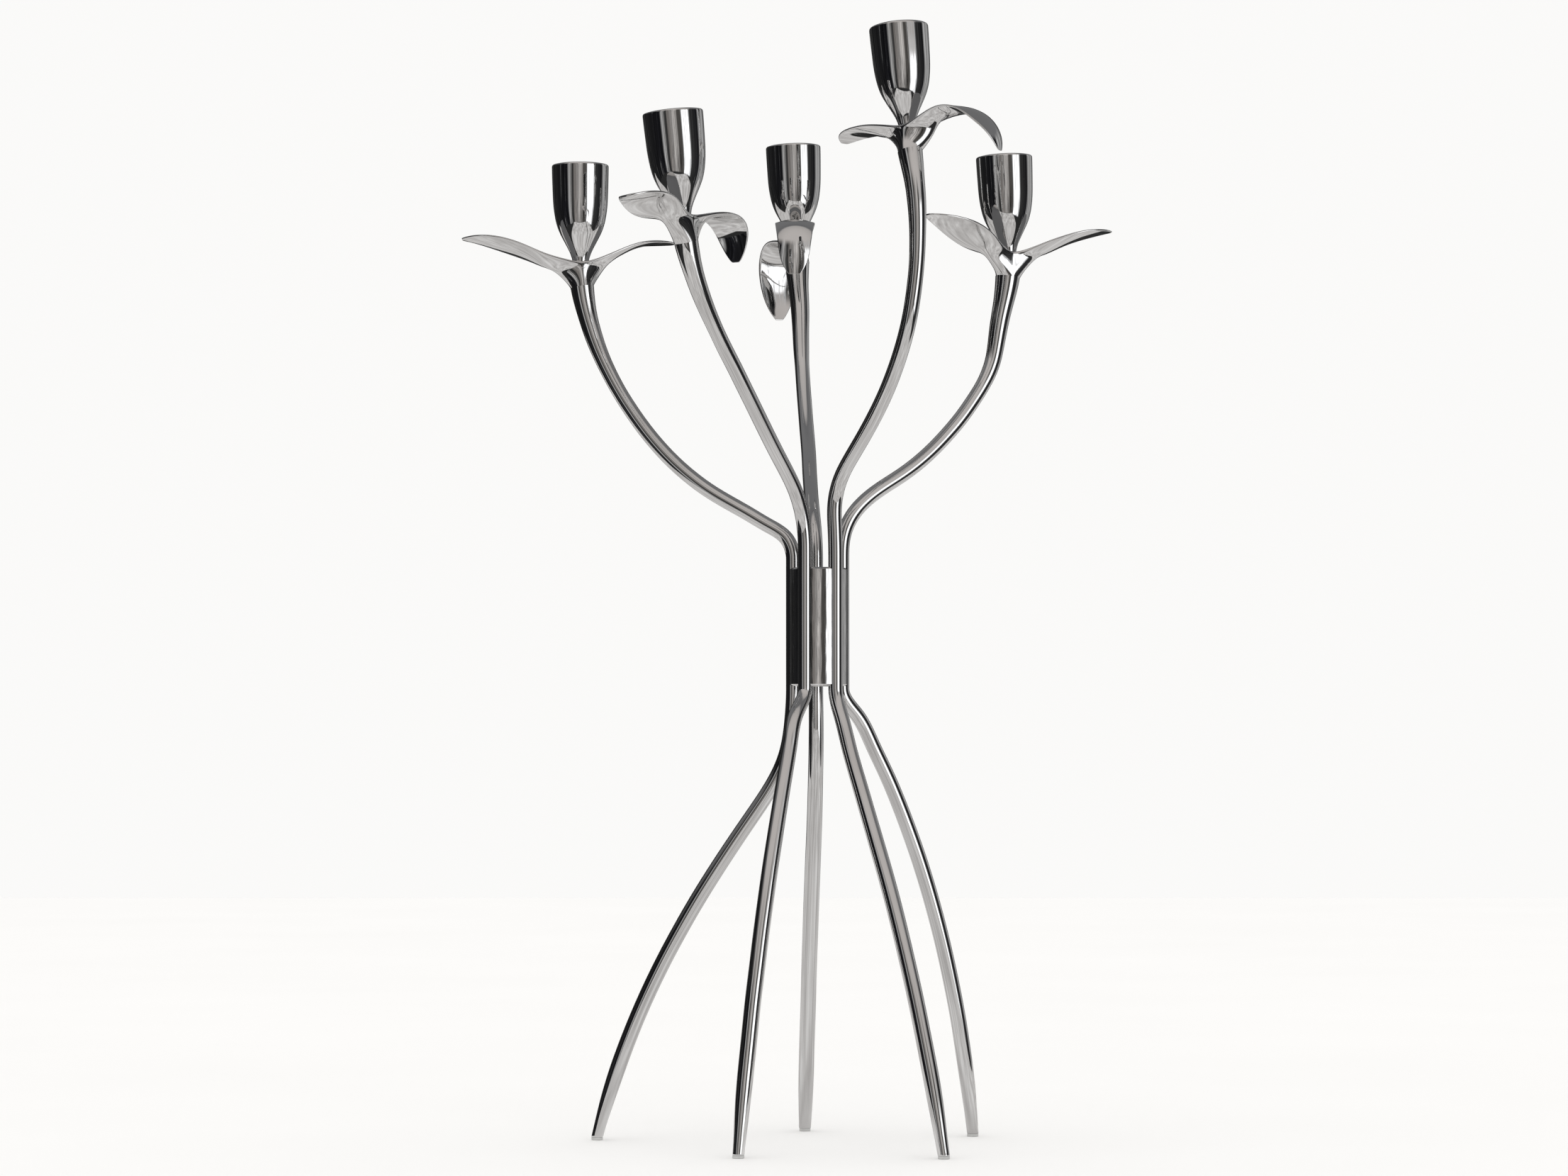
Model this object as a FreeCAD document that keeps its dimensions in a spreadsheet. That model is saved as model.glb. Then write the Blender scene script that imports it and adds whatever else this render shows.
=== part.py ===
import FreeCAD, Part
import math
import os

# Five-light candelabrum. Millimetres, +Z up, Z = 0 is the surface it stands on.
# Five continuous rods stand in the grooves of a short collar. Below the collar
# each rod is a leg, above it an arm. Each arm carries a pair of cupped leaves
# and, screwed on to a stud, a tulip-shaped candle cup.

V = FreeCAD.Vector
doc = FreeCAD.newDocument("candelabrum")

# ---------------------------------------------------------------- sizes
sheet = doc.addObject("Spreadsheet::Sheet", "dims")
SIZES = [
    # alias, value, meaning
    ("shift_x", 15.89, "collar axis from the frame origin, X"),
    ("shift_y", 4.69, "collar axis from the frame origin, Y"),
    ("collar_base", 251.0, "underside of the collar above the ground"),
    ("collar_height", 65.0, "length of the collar"),
    ("collar_radius", 15.8, "outer radius of the collar"),
    ("collar_bore", 8.0, "radius of the bore through the collar"),
    ("collar_chamfer", 1.0, "bevel at both ends of the collar"),
    ("ring_radius", 14.2, "rod centres from the collar axis"),
    ("groove_radius", 4.03, "radius of a groove in the collar"),
    ("rod_radius", 4.0, "rod radius in the collar"),
    ("arm_radius", 4.15, "rod radius along an arm"),
    ("leg_radius", 4.4, "rod radius along a leg"),
    ("foot_radius", 3.15, "rod radius at the foot"),
    ("straight_over", 5.0, "straight length of rod above the collar"),
    ("straight_under", 1.0, "straight length of rod below the collar"),
    ("shoulder_drop", 14.0, "rod shoulder below the cup seam"),
    ("shoulder_radius", 6.6, "rod radius at the shoulder"),
    ("tenon_radius", 3.5, "tenon on top of the rod"),
    ("tenon_top", 7.0, "top of the tenon below the cup seam"),
    ("socket_play", 0.03, "radial play of the tenon in the leaf casting"),
    ("stud_radius", 2.5, "M5 stud, major radius"),
    ("stud_play", 0.05, "radial play round the stud"),
    ("stud_below", 16.0, "stud end below the cup seam"),
    ("stud_above", 8.5, "stud end above the cup seam"),
    ("calyx_radius", 6.7, "leaf casting radius at the cup seam"),
    ("leaf_thick", 2.1, "leaf thickness on the midrib"),
    ("cup_height", 54.5, "cup from seam to rim"),
    ("cup_radius", 15.9, "cup outer radius at the rim"),
    ("neck_radius", 4.5, "cup outer radius at the seam"),
    ("mouth_radius", 14.3, "inner radius at the rim"),
    ("mouth_depth", 6.0, "depth of the flared mouth"),
    ("socket_radius", 11.4, "radius of the candle socket"),
    ("socket_floor", 30.0, "depth of the candle socket below the rim"),
    ("pad_thickness", 1.6, "foot pad thickness"),
    ("pad_radius", 3.4, "foot pad radius"),
]
for i, (alias, value, note) in enumerate(SIZES):
    row = i + 1
    sheet.set("A%d" % row, alias)
    sheet.set("B%d" % row, repr(value))
    sheet.set("C%d" % row, note)
    sheet.setAlias("B%d" % row, alias)
doc.recompute()


def dim(alias):
    return float(sheet.get(alias))


# ---------------------------------------------------------------- rod paths
# Per stem: angle of its groove round the collar (degrees from +X), the rod's
# centre-line above the collar up to the cup seam, the centre-line below the
# collar down to the ground, and how far the cup leans (X and Y per unit of Z).
STEMS = {
    "left": {
      "angle": 167,
      "arm": [
        (-17.5, 4.0, 332.4), (-27.8, 6.2, 339.9), (-38.9, 8.5, 346.6), (-50.1, 10.9, 353.1), (-60.9, 13.2, 359.8),
        (-70.9, 15.3, 367.3), (-80.2, 17.3, 375.6), (-88.8, 19.1, 384.7), (-96.7, 20.8, 394.4), (-104.0, 22.4, 404.7),
        (-110.8, 23.8, 415.5), (-116.9, 25.1, 426.9), (-122.2, 26.2, 438.6), (-126.5, 27.1, 450.7), (-129.8, 27.8, 463.1),
        (-131.9, 28.3, 475.7), (-132.7, 28.4, 488.5)],
      "leg": [
        (-14.8, 3.4, 231.0), (-18.1, 4.1, 212.6), (-25.8, 5.7, 195.8), (-36.1, 7.8, 180.0), (-46.7, 10.1, 164.4),
        (-57.0, 12.2, 148.7), (-66.9, 14.3, 132.8), (-76.3, 16.2, 116.5), (-85.2, 18.1, 99.9), (-93.5, 19.8, 82.9),
        (-101.1, 21.4, 65.6), (-108.0, 22.9, 48.0), (-114.2, 24.2, 30.2), (-119.7, 25.3, 12.1), (-124.3, 26.3, -6.1)],
      "tilt": (-0.006, 0.000), "swell": 1.00},
    "front_left": {
      "angle": 239,
      "arm": [
        (-7.6, -12.8, 334.0), (-9.4, -16.0, 346.5), (-12.8, -21.8, 357.4), (-17.4, -29.4, 366.8), (-22.3, -37.8, 375.6),
        (-27.0, -46.1, 384.3), (-31.6, -54.4, 393.1), (-36.2, -62.6, 402.0), (-40.8, -70.7, 410.8), (-45.5, -78.6, 419.8),
        (-50.4, -86.4, 428.9), (-55.1, -93.8, 438.3), (-59.7, -100.5, 448.3), (-63.9, -106.5, 459.0), (-67.5, -111.4, 470.5),
        (-70.3, -114.8, 482.8), (-72.0, -116.0, 495.5)],
      "leg": [
        (-12.3, -20.6, 235.5), (-15.7, -26.3, 218.9), (-18.5, -31.1, 201.8), (-21.3, -35.8, 184.8), (-24.0, -40.4, 167.8),
        (-26.6, -44.8, 150.8), (-29.0, -48.9, 133.6), (-31.3, -52.7, 116.3), (-33.4, -56.4, 99.0), (-35.5, -59.8, 81.6),
        (-37.3, -62.9, 64.1), (-39.1, -65.9, 46.6), (-40.8, -68.7, 29.0), (-42.3, -71.3, 11.4), (-43.7, -73.7, -6.2)],
      "tilt": (-0.096, -0.030), "swell": 0.97},
    "back": {
      "angle": 95,
      "arm": [
        (-1.7, 16.2, 333.9), (-2.7, 22.6, 345.7), (-3.6, 31.4, 355.9), (-4.1, 41.2, 364.6), (-4.5, 51.3, 372.7),
        (-4.8, 60.9, 381.3), (-5.4, 69.7, 391.1), (-6.2, 77.5, 401.9), (-7.0, 84.4, 413.2), (-7.8, 90.7, 424.8),
        (-8.5, 96.2, 436.6), (-9.0, 101.1, 448.7), (-9.3, 105.2, 461.2), (-9.8, 108.6, 474.0), (-10.8, 111.7, 486.7),
        (-11.4, 115.2, 499.4), (-11.7, 117.0, 512.4)],
      "leg": [
        (-1.1, 14.5, 231.7), (-1.2, 17.1, 213.8), (-1.5, 21.3, 196.2), (-1.9, 26.8, 178.9), (-2.5, 33.0, 161.8),
        (-3.1, 39.6, 144.7), (-3.7, 45.9, 127.6), (-4.2, 51.8, 110.3), (-4.8, 57.1, 92.9), (-5.2, 62.0, 75.3),
        (-5.7, 66.3, 57.7), (-6.2, 70.2, 39.9), (-6.6, 73.6, 22.0), (-7.0, 76.5, 4.0), (-7.5, 78.9, -14.1)],
      "tilt": (-0.035, 0.000), "swell": 1.08},
    "front_right": {
      "angle": 311,
      "arm": [
        (9.0, -10.2, 336.4), (9.0, -10.2, 351.5), (12.1, -15.1, 364.4), (17.7, -23.6, 375.2), (23.9, -33.1, 385.4),
        (29.9, -42.4, 396.0), (35.5, -51.0, 407.3), (40.4, -58.6, 419.4), (44.6, -65.1, 432.2), (48.0, -70.2, 445.9),
        (50.3, -73.8, 460.3), (51.8, -76.1, 475.2), (52.3, -77.0, 490.3), (52.0, -76.5, 505.5), (50.7, -74.5, 520.4),
        (48.7, -71.0, 535.1), (47.0, -68.8, 549.9)],
      "leg": [
        (12.8, -14.7, 232.7), (16.9, -19.5, 215.8), (21.5, -24.8, 199.2), (26.2, -30.3, 182.6), (30.9, -35.8, 166.0),
        (35.6, -41.1, 149.3), (40.0, -46.2, 132.6), (44.1, -51.1, 115.6), (48.0, -55.6, 98.5), (51.7, -59.8, 81.3),
        (55.1, -63.8, 64.0), (58.4, -67.5, 46.6), (61.4, -71.0, 29.1), (64.1, -74.2, 11.5), (66.7, -77.2, -6.2)],
      "tilt": (-0.081, 0.070), "swell": 1.02},
    "right": {
      "angle": 23,
      "arm": [
        (14.0, 6.0, 333.7), (18.7, 8.3, 345.1), (26.5, 12.1, 354.2), (36.0, 16.7, 361.6), (46.1, 21.6, 368.4),
        (55.6, 26.3, 375.7), (64.4, 30.6, 383.8), (72.5, 34.6, 392.5), (80.2, 38.3, 401.8), (87.3, 41.8, 411.9),
        (93.8, 44.9, 422.6), (98.6, 47.2, 434.2), (101.0, 48.5, 446.4), (103.1, 49.6, 458.9), (105.7, 50.7, 471.5),
        (107.6, 51.5, 484.1), (107.9, 51.8, 496.8)],
      "leg": [
        (21.7, 10.3, 234.8), (29.9, 14.8, 219.2), (37.5, 19.0, 203.2), (44.5, 22.8, 186.9), (50.9, 26.3, 170.2),
        (56.8, 29.6, 153.3), (62.1, 32.5, 136.2), (66.9, 35.1, 118.8), (71.2, 37.5, 101.2), (75.0, 39.6, 83.5),
        (78.4, 41.4, 65.7), (81.2, 43.0, 47.8), (83.7, 44.4, 29.8), (85.7, 45.5, 11.7), (87.3, 46.3, -6.3)],
      "tilt": (-0.042, 0.000), "swell": 1.05},
}

# Per leaf: direction (degrees from +X), lift where it leaves the sheath, then beyond
# the sheath the midrib as
# (reach, rise above the seam, width, half angle of the cupped section, roll).
# A positive half angle turns the edges up, a negative one turns them down.
LEAVES = {
    "left": [
        (178, 0.0, [(19.0, -2.4, 22.5, 34, 9), (27.0, 2.0, 24.5, 20, 12), (36.0, 6.7, 25.5, 10, 13), (46.5, 10.6, 24.5, 4, 12),
                    (56.0, 12.8, 19.5, 0, 9), (62.5, 13.5, 12.5, -4, 6), (66.6, 13.2, 5.0, -4, 4)]),
        (28, 2.4, [(18.5, 2.0, 22.0, 34, -4), (25.0, 6.4, 24.0, 20, -4), (32.5, 10.4, 25.0, 10, -3), (41.5, 13.0, 23.5, 2, 0),
                   (50.0, 13.8, 18.5, -4, 0), (55.0, 13.8, 12.0, -6, 0), (58.2, 13.5, 5.0, -6, 0)])],
    "front_left": [
        (235, 0.0, [(18.5, -1.9, 24.0, 34, 16), (25.0, 0.8, 26.0, 22, 20), (31.5, 3.1, 25.0, 14, 18), (38.0, 4.7, 21.5, 8, 13),
                    (44.0, 5.3, 16.0, 2, 9), (48.2, 5.0, 10.0, 0, 5), (51.0, 4.2, 4.5, 0, 3)]),
        (57, 0.0, [(18.5, -0.4, 22.0, 28, 0), (26.5, 2.8, 23.0, 8, 0), (35.5, 4.2, 23.5, -10, 0), (43.4, 2.4, 23.0, -20, 0),
                   (48.2, -2.8, 21.0, -22, 0), (49.8, -9.0, 17.0, -20, 0), (50.3, -14.8, 11.5, -14, 0), (50.4, -19.6, 4.5, -8, 0)])],
    "back": [
        (268, 0.0, [(18.0, 1.8, 21.5, 30, 0), (23.0, 6.0, 22.0, 4, 0), (28.5, 8.2, 22.5, -22, 0), (34.0, 5.4, 22.0, -32, 0),
                    (37.2, -1.6, 20.0, -30, 0), (38.4, -9.5, 18.0, -26, 0), (38.6, -17.5, 15.0, -18, 0), (38.0, -24.5, 7.5, -8, 0)]),
        (111, 0.0, [(18.0, -2.2, 22.0, 32, 0), (22.8, -2.4, 23.0, 14, 0), (27.6, -5.8, 24.0, -2, 0), (30.9, -12.8, 24.0, -12, 0),
                    (31.9, -21.4, 22.5, -18, 0), (31.2, -30.6, 18.5, -18, 0), (29.6, -38.2, 12.5, -14, 0), (28.0, -44.2, 5.0, -8, 0)])],
    "front_right": [
        (130, 0.0, [(18.5, -3.2, 23.0, 34, 9), (25.0, -1.4, 24.5, 20, 7), (32.5, 0.2, 25.0, 8, 2), (40.0, 0.8, 22.5, -2, 0),
                    (46.0, 0.0, 17.0, -6, 0), (49.6, -1.6, 11.0, -8, 0), (51.6, -3.4, 4.5, -6, 0)]),
        (345, 1.0, [(17.0, 2.8, 22.5, 28, -10), (22.5, 6.8, 24.5, 10, -6), (28.5, 8.6, 25.5, -8, 0), (35.0, 7.9, 25.5, -20, 7),
                    (42.0, 4.3, 24.0, -26, 13), (47.4, -1.6, 20.0, -26, 14), (50.2, -8.8, 13.5, -18, 12), (50.8, -15.0, 5.0, -8, 8)])],
    "right": [
        (218, 0.0, [(19.0, 0.4, 23.0, 34, 11), (26.0, 5.0, 25.0, 22, 14), (34.5, 9.6, 25.5, 14, 12), (43.0, 13.2, 22.0, 8, 8),
                    (51.0, 15.6, 16.0, 2, 5), (56.5, 16.5, 10.0, 0, 3), (59.8, 16.8, 4.5, 0, 2)]),
        (12, 1.0, [(19.0, -0.6, 23.0, 34, -11), (26.5, 3.2, 24.5, 20, -11), (35.5, 7.6, 25.0, 10, -9), (45.0, 11.2, 23.5, 2, -7),
                   (53.0, 12.9, 18.5, -4, -4), (57.5, 13.4, 12.0, -6, -2), (60.5, 13.3, 5.0, -6, 0)])],
}
# The sheath of every leaf: it starts as half a tube on the rod and opens out.
SHEATH = [(6.3, -13.4, 11.0, 50, 0, 0.5), (7.9, -11.2, 14.5, 54, 0, 0.75), (10.6, -8.2, 18.0, 54, 0, 0.9),
          (13.8, -5.2, 20.5, 46, 0, 1.0)]


# ---------------------------------------------------------------- helpers
SHIFT = V(dim("shift_x"), dim("shift_y"), 0)


def on_ring(angle, z):
    a = math.radians(angle)
    r = dim("ring_radius")
    return V(r * math.cos(a), r * math.sin(a), z) + SHIFT


def smooth_path(points, start_tangent=None):
    curve = Part.BSplineCurve()
    if start_tangent is None:
        curve.interpolate(Points=points)
    else:
        tangents = [V(0, 0, 0)] * len(points)
        flags = [False] * len(points)
        tangents[0] = start_tangent
        flags[0] = True
        curve.interpolate(Points=points, Tangents=tangents, TangentFlags=flags)
    return curve


def stations(curve, lengths):
    """Points and unit tangents at the given lengths along the curve."""
    out = []
    for s in lengths:
        u = curve.parameterAtDistance(s, curve.FirstParameter) if s > 0 else curve.FirstParameter
        t = curve.tangent(u)[0]
        out.append((curve.value(u), V(t.x, t.y, t.z).normalize()))
    return out


def carried_frames(stops, x_axis):
    """Turn a starting x axis along the stations without twist."""
    frames = []
    x = V(x_axis)
    for point, t in stops:
        x = (x - t * x.dot(t)).normalize()
        y = t.cross(x)
        m = FreeCAD.Matrix(x.x, y.x, t.x, point.x, x.y, y.y, t.y, point.y, x.z, y.z, t.z, point.z, 0, 0, 0, 1)
        frames.append(FreeCAD.Placement(m))
    return frames


def ring_loft(name, frames, radius_words):
    """A round bar through circles whose radii are sheet expressions."""
    rings = []
    for k, (place, words) in enumerate(zip(frames, radius_words)):
        ring = doc.addObject("Part::Circle", "%s_ring_%02d" % (name, k))
        ring.Radius = 4
        ring.setExpression("Radius", words)
        ring.Placement = place
        rings.append(ring)
    loft = doc.addObject("Part::Loft", name)
    loft.Sections = rings
    loft.Solid = True
    loft.Ruled = False
    loft.MaxDegree = 5
    return loft


def cylinder(name, radius, height, place):
    c = doc.addObject("Part::Cylinder", name)
    c.setExpression("Radius", radius)
    c.setExpression("Height", height)
    c.Placement = place
    return c


def fuse(name, shapes):
    f = doc.addObject("Part::MultiFuse", name)
    f.Shapes = shapes
    f.Refine = False
    return f


def cut(name, base, tool):
    c = doc.addObject("Part::Cut", name)
    c.Base = base
    c.Tool = tool
    c.Refine = False
    return c


def role(body, word):
    for f in body.Origin.OriginFeatures:
        if f.Role == word:
            return f


def sketch_on(body, plane, name):
    sk = body.newObject("Sketcher::SketchObject", name)
    sk.AttachmentSupport = [(role(body, plane), "")]
    sk.MapMode = "FlatFace"
    return sk


def turned(name, label, segments, place):
    """A body turned about its own Z axis. Segments are lists of (r, z):
    two points make a line, more make a smooth curve."""
    body = doc.addObject("PartDesign::Body", name)
    body.Label = label
    sk = sketch_on(body, "XZ_Plane", name + "_profile")
    for pts in segments:
        vs = [V(r, z, 0) for r, z in pts]
        if len(vs) == 2:
            sk.addGeometry(Part.LineSegment(vs[0], vs[1]), False)
        else:
            curve = Part.BSplineCurve()
            curve.interpolate(Points=vs)
            sk.addGeometry(curve, False)
    doc.recompute()
    rev = body.newObject("PartDesign::Revolution", name + "_turned")
    rev.Profile = sk
    rev.ReferenceAxis = (sk, ["V_Axis"])
    rev.Angle = 360.0
    body.Tip = rev
    body.Placement = place
    return body


def leaning(point, tilt):
    """Placement at a point with local +Z along the leaning cup axis."""
    z = V(tilt[0], tilt[1], math.sqrt(1 - tilt[0] ** 2 - tilt[1] ** 2))
    return FreeCAD.Placement(point, FreeCAD.Rotation(V(0, 0, 1), z))


parts_out = []


def hand_out(obj, label):
    obj.Label = label
    parts_out.append((obj, label))


# ---------------------------------------------------------------- collar
hub = doc.addObject("PartDesign::Body", "hub_body")
sk = sketch_on(hub, "XY_Plane", "hub_round")
sk.addGeometry(Part.Circle(V(0, 0, 0), V(0, 0, 1), dim("collar_radius")), False)
sk.addGeometry(Part.Circle(V(0, 0, 0), V(0, 0, 1), dim("collar_bore")), False)
import Sketcher
sk.addConstraint(Sketcher.Constraint("Coincident", 0, 3, -1, 1))
sk.addConstraint(Sketcher.Constraint("Coincident", 1, 3, -1, 1))
c_out = sk.addConstraint(Sketcher.Constraint("Radius", 0, dim("collar_radius")))
sk.setExpression("Constraints[%d]" % c_out, "dims.collar_radius")
c_in = sk.addConstraint(Sketcher.Constraint("Radius", 1, dim("collar_bore")))
sk.setExpression("Constraints[%d]" % c_in, "dims.collar_bore")
hub_pad = hub.newObject("PartDesign::Pad", "hub_pad")
hub_pad.Profile = sk
hub_pad.setExpression("Length", "dims.collar_height")
doc.recompute()
rim_edges = ["Edge%d" % (i + 1) for i, e in enumerate(hub_pad.Shape.Edges)
             if len(e.Vertexes) == 1 and hasattr(e.Curve, "Radius") and abs(e.Curve.Radius - dim("collar_radius")) < 1e-6]
hub_bevel = hub.newObject("PartDesign::Chamfer", "hub_bevel")
hub_bevel.Base = (hub_pad, rim_edges)
hub_bevel.setExpression("Size", "dims.collar_chamfer")
doc.recompute()
gsk = sketch_on(hub, "XY_Plane", "hub_groove_profile")
a0 = math.radians(STEMS["right"]["angle"])
gsk.addGeometry(Part.Circle(V(dim("ring_radius") * math.cos(a0), dim("ring_radius") * math.sin(a0), 0), V(0, 0, 1), dim("groove_radius")), False)
groove = hub.newObject("PartDesign::Pocket", "hub_groove")
groove.Profile = gsk
groove.Reversed = True
groove.setExpression("Length", "dims.collar_height + 2")
doc.recompute()
v0 = hub_bevel.Shape.Volume
v1 = groove.Shape.Volume
if not v1 < v0 - 100:
    raise RuntimeError("groove cuts nothing")
ring = hub.newObject("PartDesign::PolarPattern", "hub_grooves")
ring.Originals = [groove]
ring.Axis = (gsk, ["N_Axis"])
ring.Angle = 360.0
ring.Occurrences = 5
hub.Tip = ring
hub.setExpression("Placement.Base.x", "dims.shift_x")
hub.setExpression("Placement.Base.y", "dims.shift_y")
hub.setExpression("Placement.Base.z", "dims.collar_base")
doc.recompute()
if not ring.Shape.Volume < v0 - 4.5 * (v0 - v1):
    raise RuntimeError("groove pattern incomplete")
hand_out(hub, "hub_sleeve")

# ---------------------------------------------------------------- stems
# distance below the shoulder, radius there: the arm swells towards the leaves
SWELL = [(54, "dims.arm_radius * 1.02"), (42, "dims.arm_radius * 1.08"), (30, "dims.arm_radius * 1.19"),
         (18, "dims.arm_radius * 1.29"), (10, "dims.shoulder_radius * 0.89"), (5, "dims.shoulder_radius * 0.95"),
         (0, "dims.shoulder_radius")]


def stem(name, data):
    key = "stem_" + name
    up = [V(*p) + SHIFT for p in data["arm"]]
    down = [V(*p) + SHIFT for p in data["leg"]]
    top = on_ring(data["angle"], dim("collar_base") + dim("collar_height") + dim("straight_over"))
    low = on_ring(data["angle"], dim("collar_base") - dim("straight_under"))
    outward = V(math.cos(math.radians(data["angle"])), math.sin(math.radians(data["angle"])), 0)

    arm_curve = smooth_path([top] + up, V(0, 0, 1))
    total = arm_curve.length()
    end = total - dim("shoulder_drop")
    lengths = [0, 4, 9] + [9 + (end - 66 - 9) * k / 8.0 for k in range(1, 9)] + [end - s for s, w in SWELL]
    words = ["dims.rod_radius", "dims.rod_radius", "dims.rod_radius * 1.005"]
    words += ["dims.rod_radius + (dims.arm_radius - dims.rod_radius) * %.3f" % min(1.0, 0.35 + 0.2 * k) for k in range(0, 8)]
    words += ["(%s) * %.3f" % (w, data["swell"]) for s, w in SWELL]
    stops = stations(arm_curve, lengths)
    arm = ring_loft(key + "_arm", carried_frames(stops, outward), words)

    leg_curve = smooth_path([low] + down, V(0, 0, -1))
    total = leg_curve.length()
    lengths = [0, 4, 9] + [9 + (total - 52 - 9) * k / 10.0 for k in range(1, 11)]
    lengths += [total - 38, total - 26, total - 16, total]
    words = ["dims.rod_radius", "dims.rod_radius", "dims.rod_radius * 1.008"]
    words += ["dims.rod_radius + (dims.leg_radius - dims.rod_radius) * %.3f" % min(1.0, 0.3 + 0.2 * k) for k in range(0, 10)]
    words += ["dims.leg_radius * 0.96", "dims.leg_radius * 0.87", "dims.foot_radius * 1.08", "dims.foot_radius * 0.97"]
    leg = ring_loft(key + "_leg", carried_frames(stations(leg_curve, lengths), outward), words)

    bar = cylinder(key + "_bar", "dims.rod_radius", "dims.collar_height + dims.straight_over + dims.straight_under",
                   FreeCAD.Placement(low, FreeCAD.Rotation()))
    seam = up[-1]
    axis = leaning(seam, data["tilt"])
    z = axis.Rotation.multVec(V(0, 0, 1))
    tenon_len = dim("shoulder_drop") + 4 - dim("tenon_top")
    tenon = cylinder(key + "_tenon", "dims.tenon_radius", "dims.shoulder_drop + 4 - dims.tenon_top",
                     FreeCAD.Placement(seam - z * (dim("tenon_top") + tenon_len), axis.Rotation))
    whole = fuse(key + "_whole", [leg, bar, arm, tenon])

    hole_len = dim("stud_below") + 1.5
    hole = cylinder(key + "_stud_hole", "dims.stud_radius + dims.stud_play", "dims.stud_below + 1.5",
                    FreeCAD.Placement(seam - z * hole_len, axis.Rotation))
    foot = V(down[-1])
    trim = doc.addObject("Part::Box", key + "_level_cut")
    trim.Length = 60
    trim.Width = 60
    trim.Height = 40
    trim.Placement = FreeCAD.Placement(V(foot.x - 30, foot.y - 30, dim("pad_thickness") - 40), FreeCAD.Rotation())
    trim.setExpression("Placement.Base.z", "dims.pad_thickness - 40")
    tools = fuse(key + "_tools", [hole, trim])
    done = cut(key, whole, tools)
    hand_out(done, key)
    return arm_curve, leg_curve, seam, axis, z


# ---------------------------------------------------------------- leaves
def leaf_wire(name, centre, tangent, side, width, half_angle, roll, thick):
    """Closed crescent section across a leaf, square to the midrib."""
    n = tangent.cross(side).normalize()
    if roll:
        turn = FreeCAD.Rotation(tangent, roll)
        side = turn.multVec(side)
        n = turn.multVec(n)
    a = math.radians(half_angle)
    if abs(a) < 0.01:
        a = 0.01
    rho = width / (2 * a)
    upper, lower = [], []
    for u in (-1, -0.72, -0.38, 0, 0.38, 0.72, 1):
        p = centre + side * (rho * math.sin(u * a)) + n * (rho * (1 - math.cos(u * a)))
        m = (n * math.cos(u * a) - side * math.sin(u * a))
        h = thick * 0.5 * (1 - 0.45 * u * u)
        upper.append(p + m * h)
        lower.append(p - m * h)
    top = Part.BSplineCurve()
    top.interpolate(Points=upper)
    under = Part.BSplineCurve()
    under.interpolate(Points=lower[::-1])
    w = doc.addObject("Part::Feature", name)
    w.Shape = Part.Wire([top.toShape(), Part.LineSegment(upper[-1], lower[-1]).toShape(),
                         under.toShape(), Part.LineSegment(lower[0], upper[0]).toShape()])
    return w


def sheath_centre(arm_curve, seam, rise):
    """Centre of the rod at a rise (below the seam) where the sheath wraps it."""
    total = arm_curve.length()
    best = seam
    for k in range(121):
        p = arm_curve.value(arm_curve.parameterAtDistance(total - 24.0 + 0.2 * k, arm_curve.FirstParameter))
        if abs(p.z - seam.z - rise) < abs(best.z - seam.z - rise):
            best = p
    return V(best.x, best.y, seam.z)


def leaf(name, arm_curve, seam, direction, lift, rows):
    """Two lofts that share one section: the sheath and root, then the blade."""
    a = math.radians(direction)
    out = V(math.cos(a), math.sin(a), 0)
    side = V(-math.sin(a), math.cos(a), 0)
    first_roll = rows[0][4]
    full = [(d, h + lift * k * k / 9.0, w, g, first_roll * k / 4.0, t) for k, (d, h, w, g, r, t) in enumerate(SHEATH)]
    n = len(rows)
    for k, (d, h, w, g, r) in enumerate(rows):
        t = 1.0 if k < n - 3 else (0.85, 0.7, 0.5)[k - (n - 3)]
        full.append((d, h, w, g, r, t))
    mids = []
    for k, (d, h, w, g, r, t) in enumerate(full):
        base = sheath_centre(arm_curve, seam, h) if k < len(SHEATH) else seam
        mids.append(base + out * d + V(0, 0, h))
    curve = Part.BSplineCurve()
    curve.interpolate(Points=mids)
    wires = []
    for k, (d, h, w, g, r, t) in enumerate(full):
        u = curve.parameter(mids[k])
        tan = curve.tangent(u)[0]
        wires.append(leaf_wire("%s_section_%02d" % (name, k), mids[k], V(tan.x, tan.y, tan.z), side, w, g, r, t * dim("leaf_thick")))
    lofts = []
    for word, run in (("root", wires[:6]), ("blade", wires[5:])):
        loft = doc.addObject("Part::Loft", name + "_" + word)
        loft.Sections = run
        loft.Solid = True
        loft.Ruled = False
        loft.MaxDegree = 5
        lofts.append(loft)
    return lofts


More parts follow.
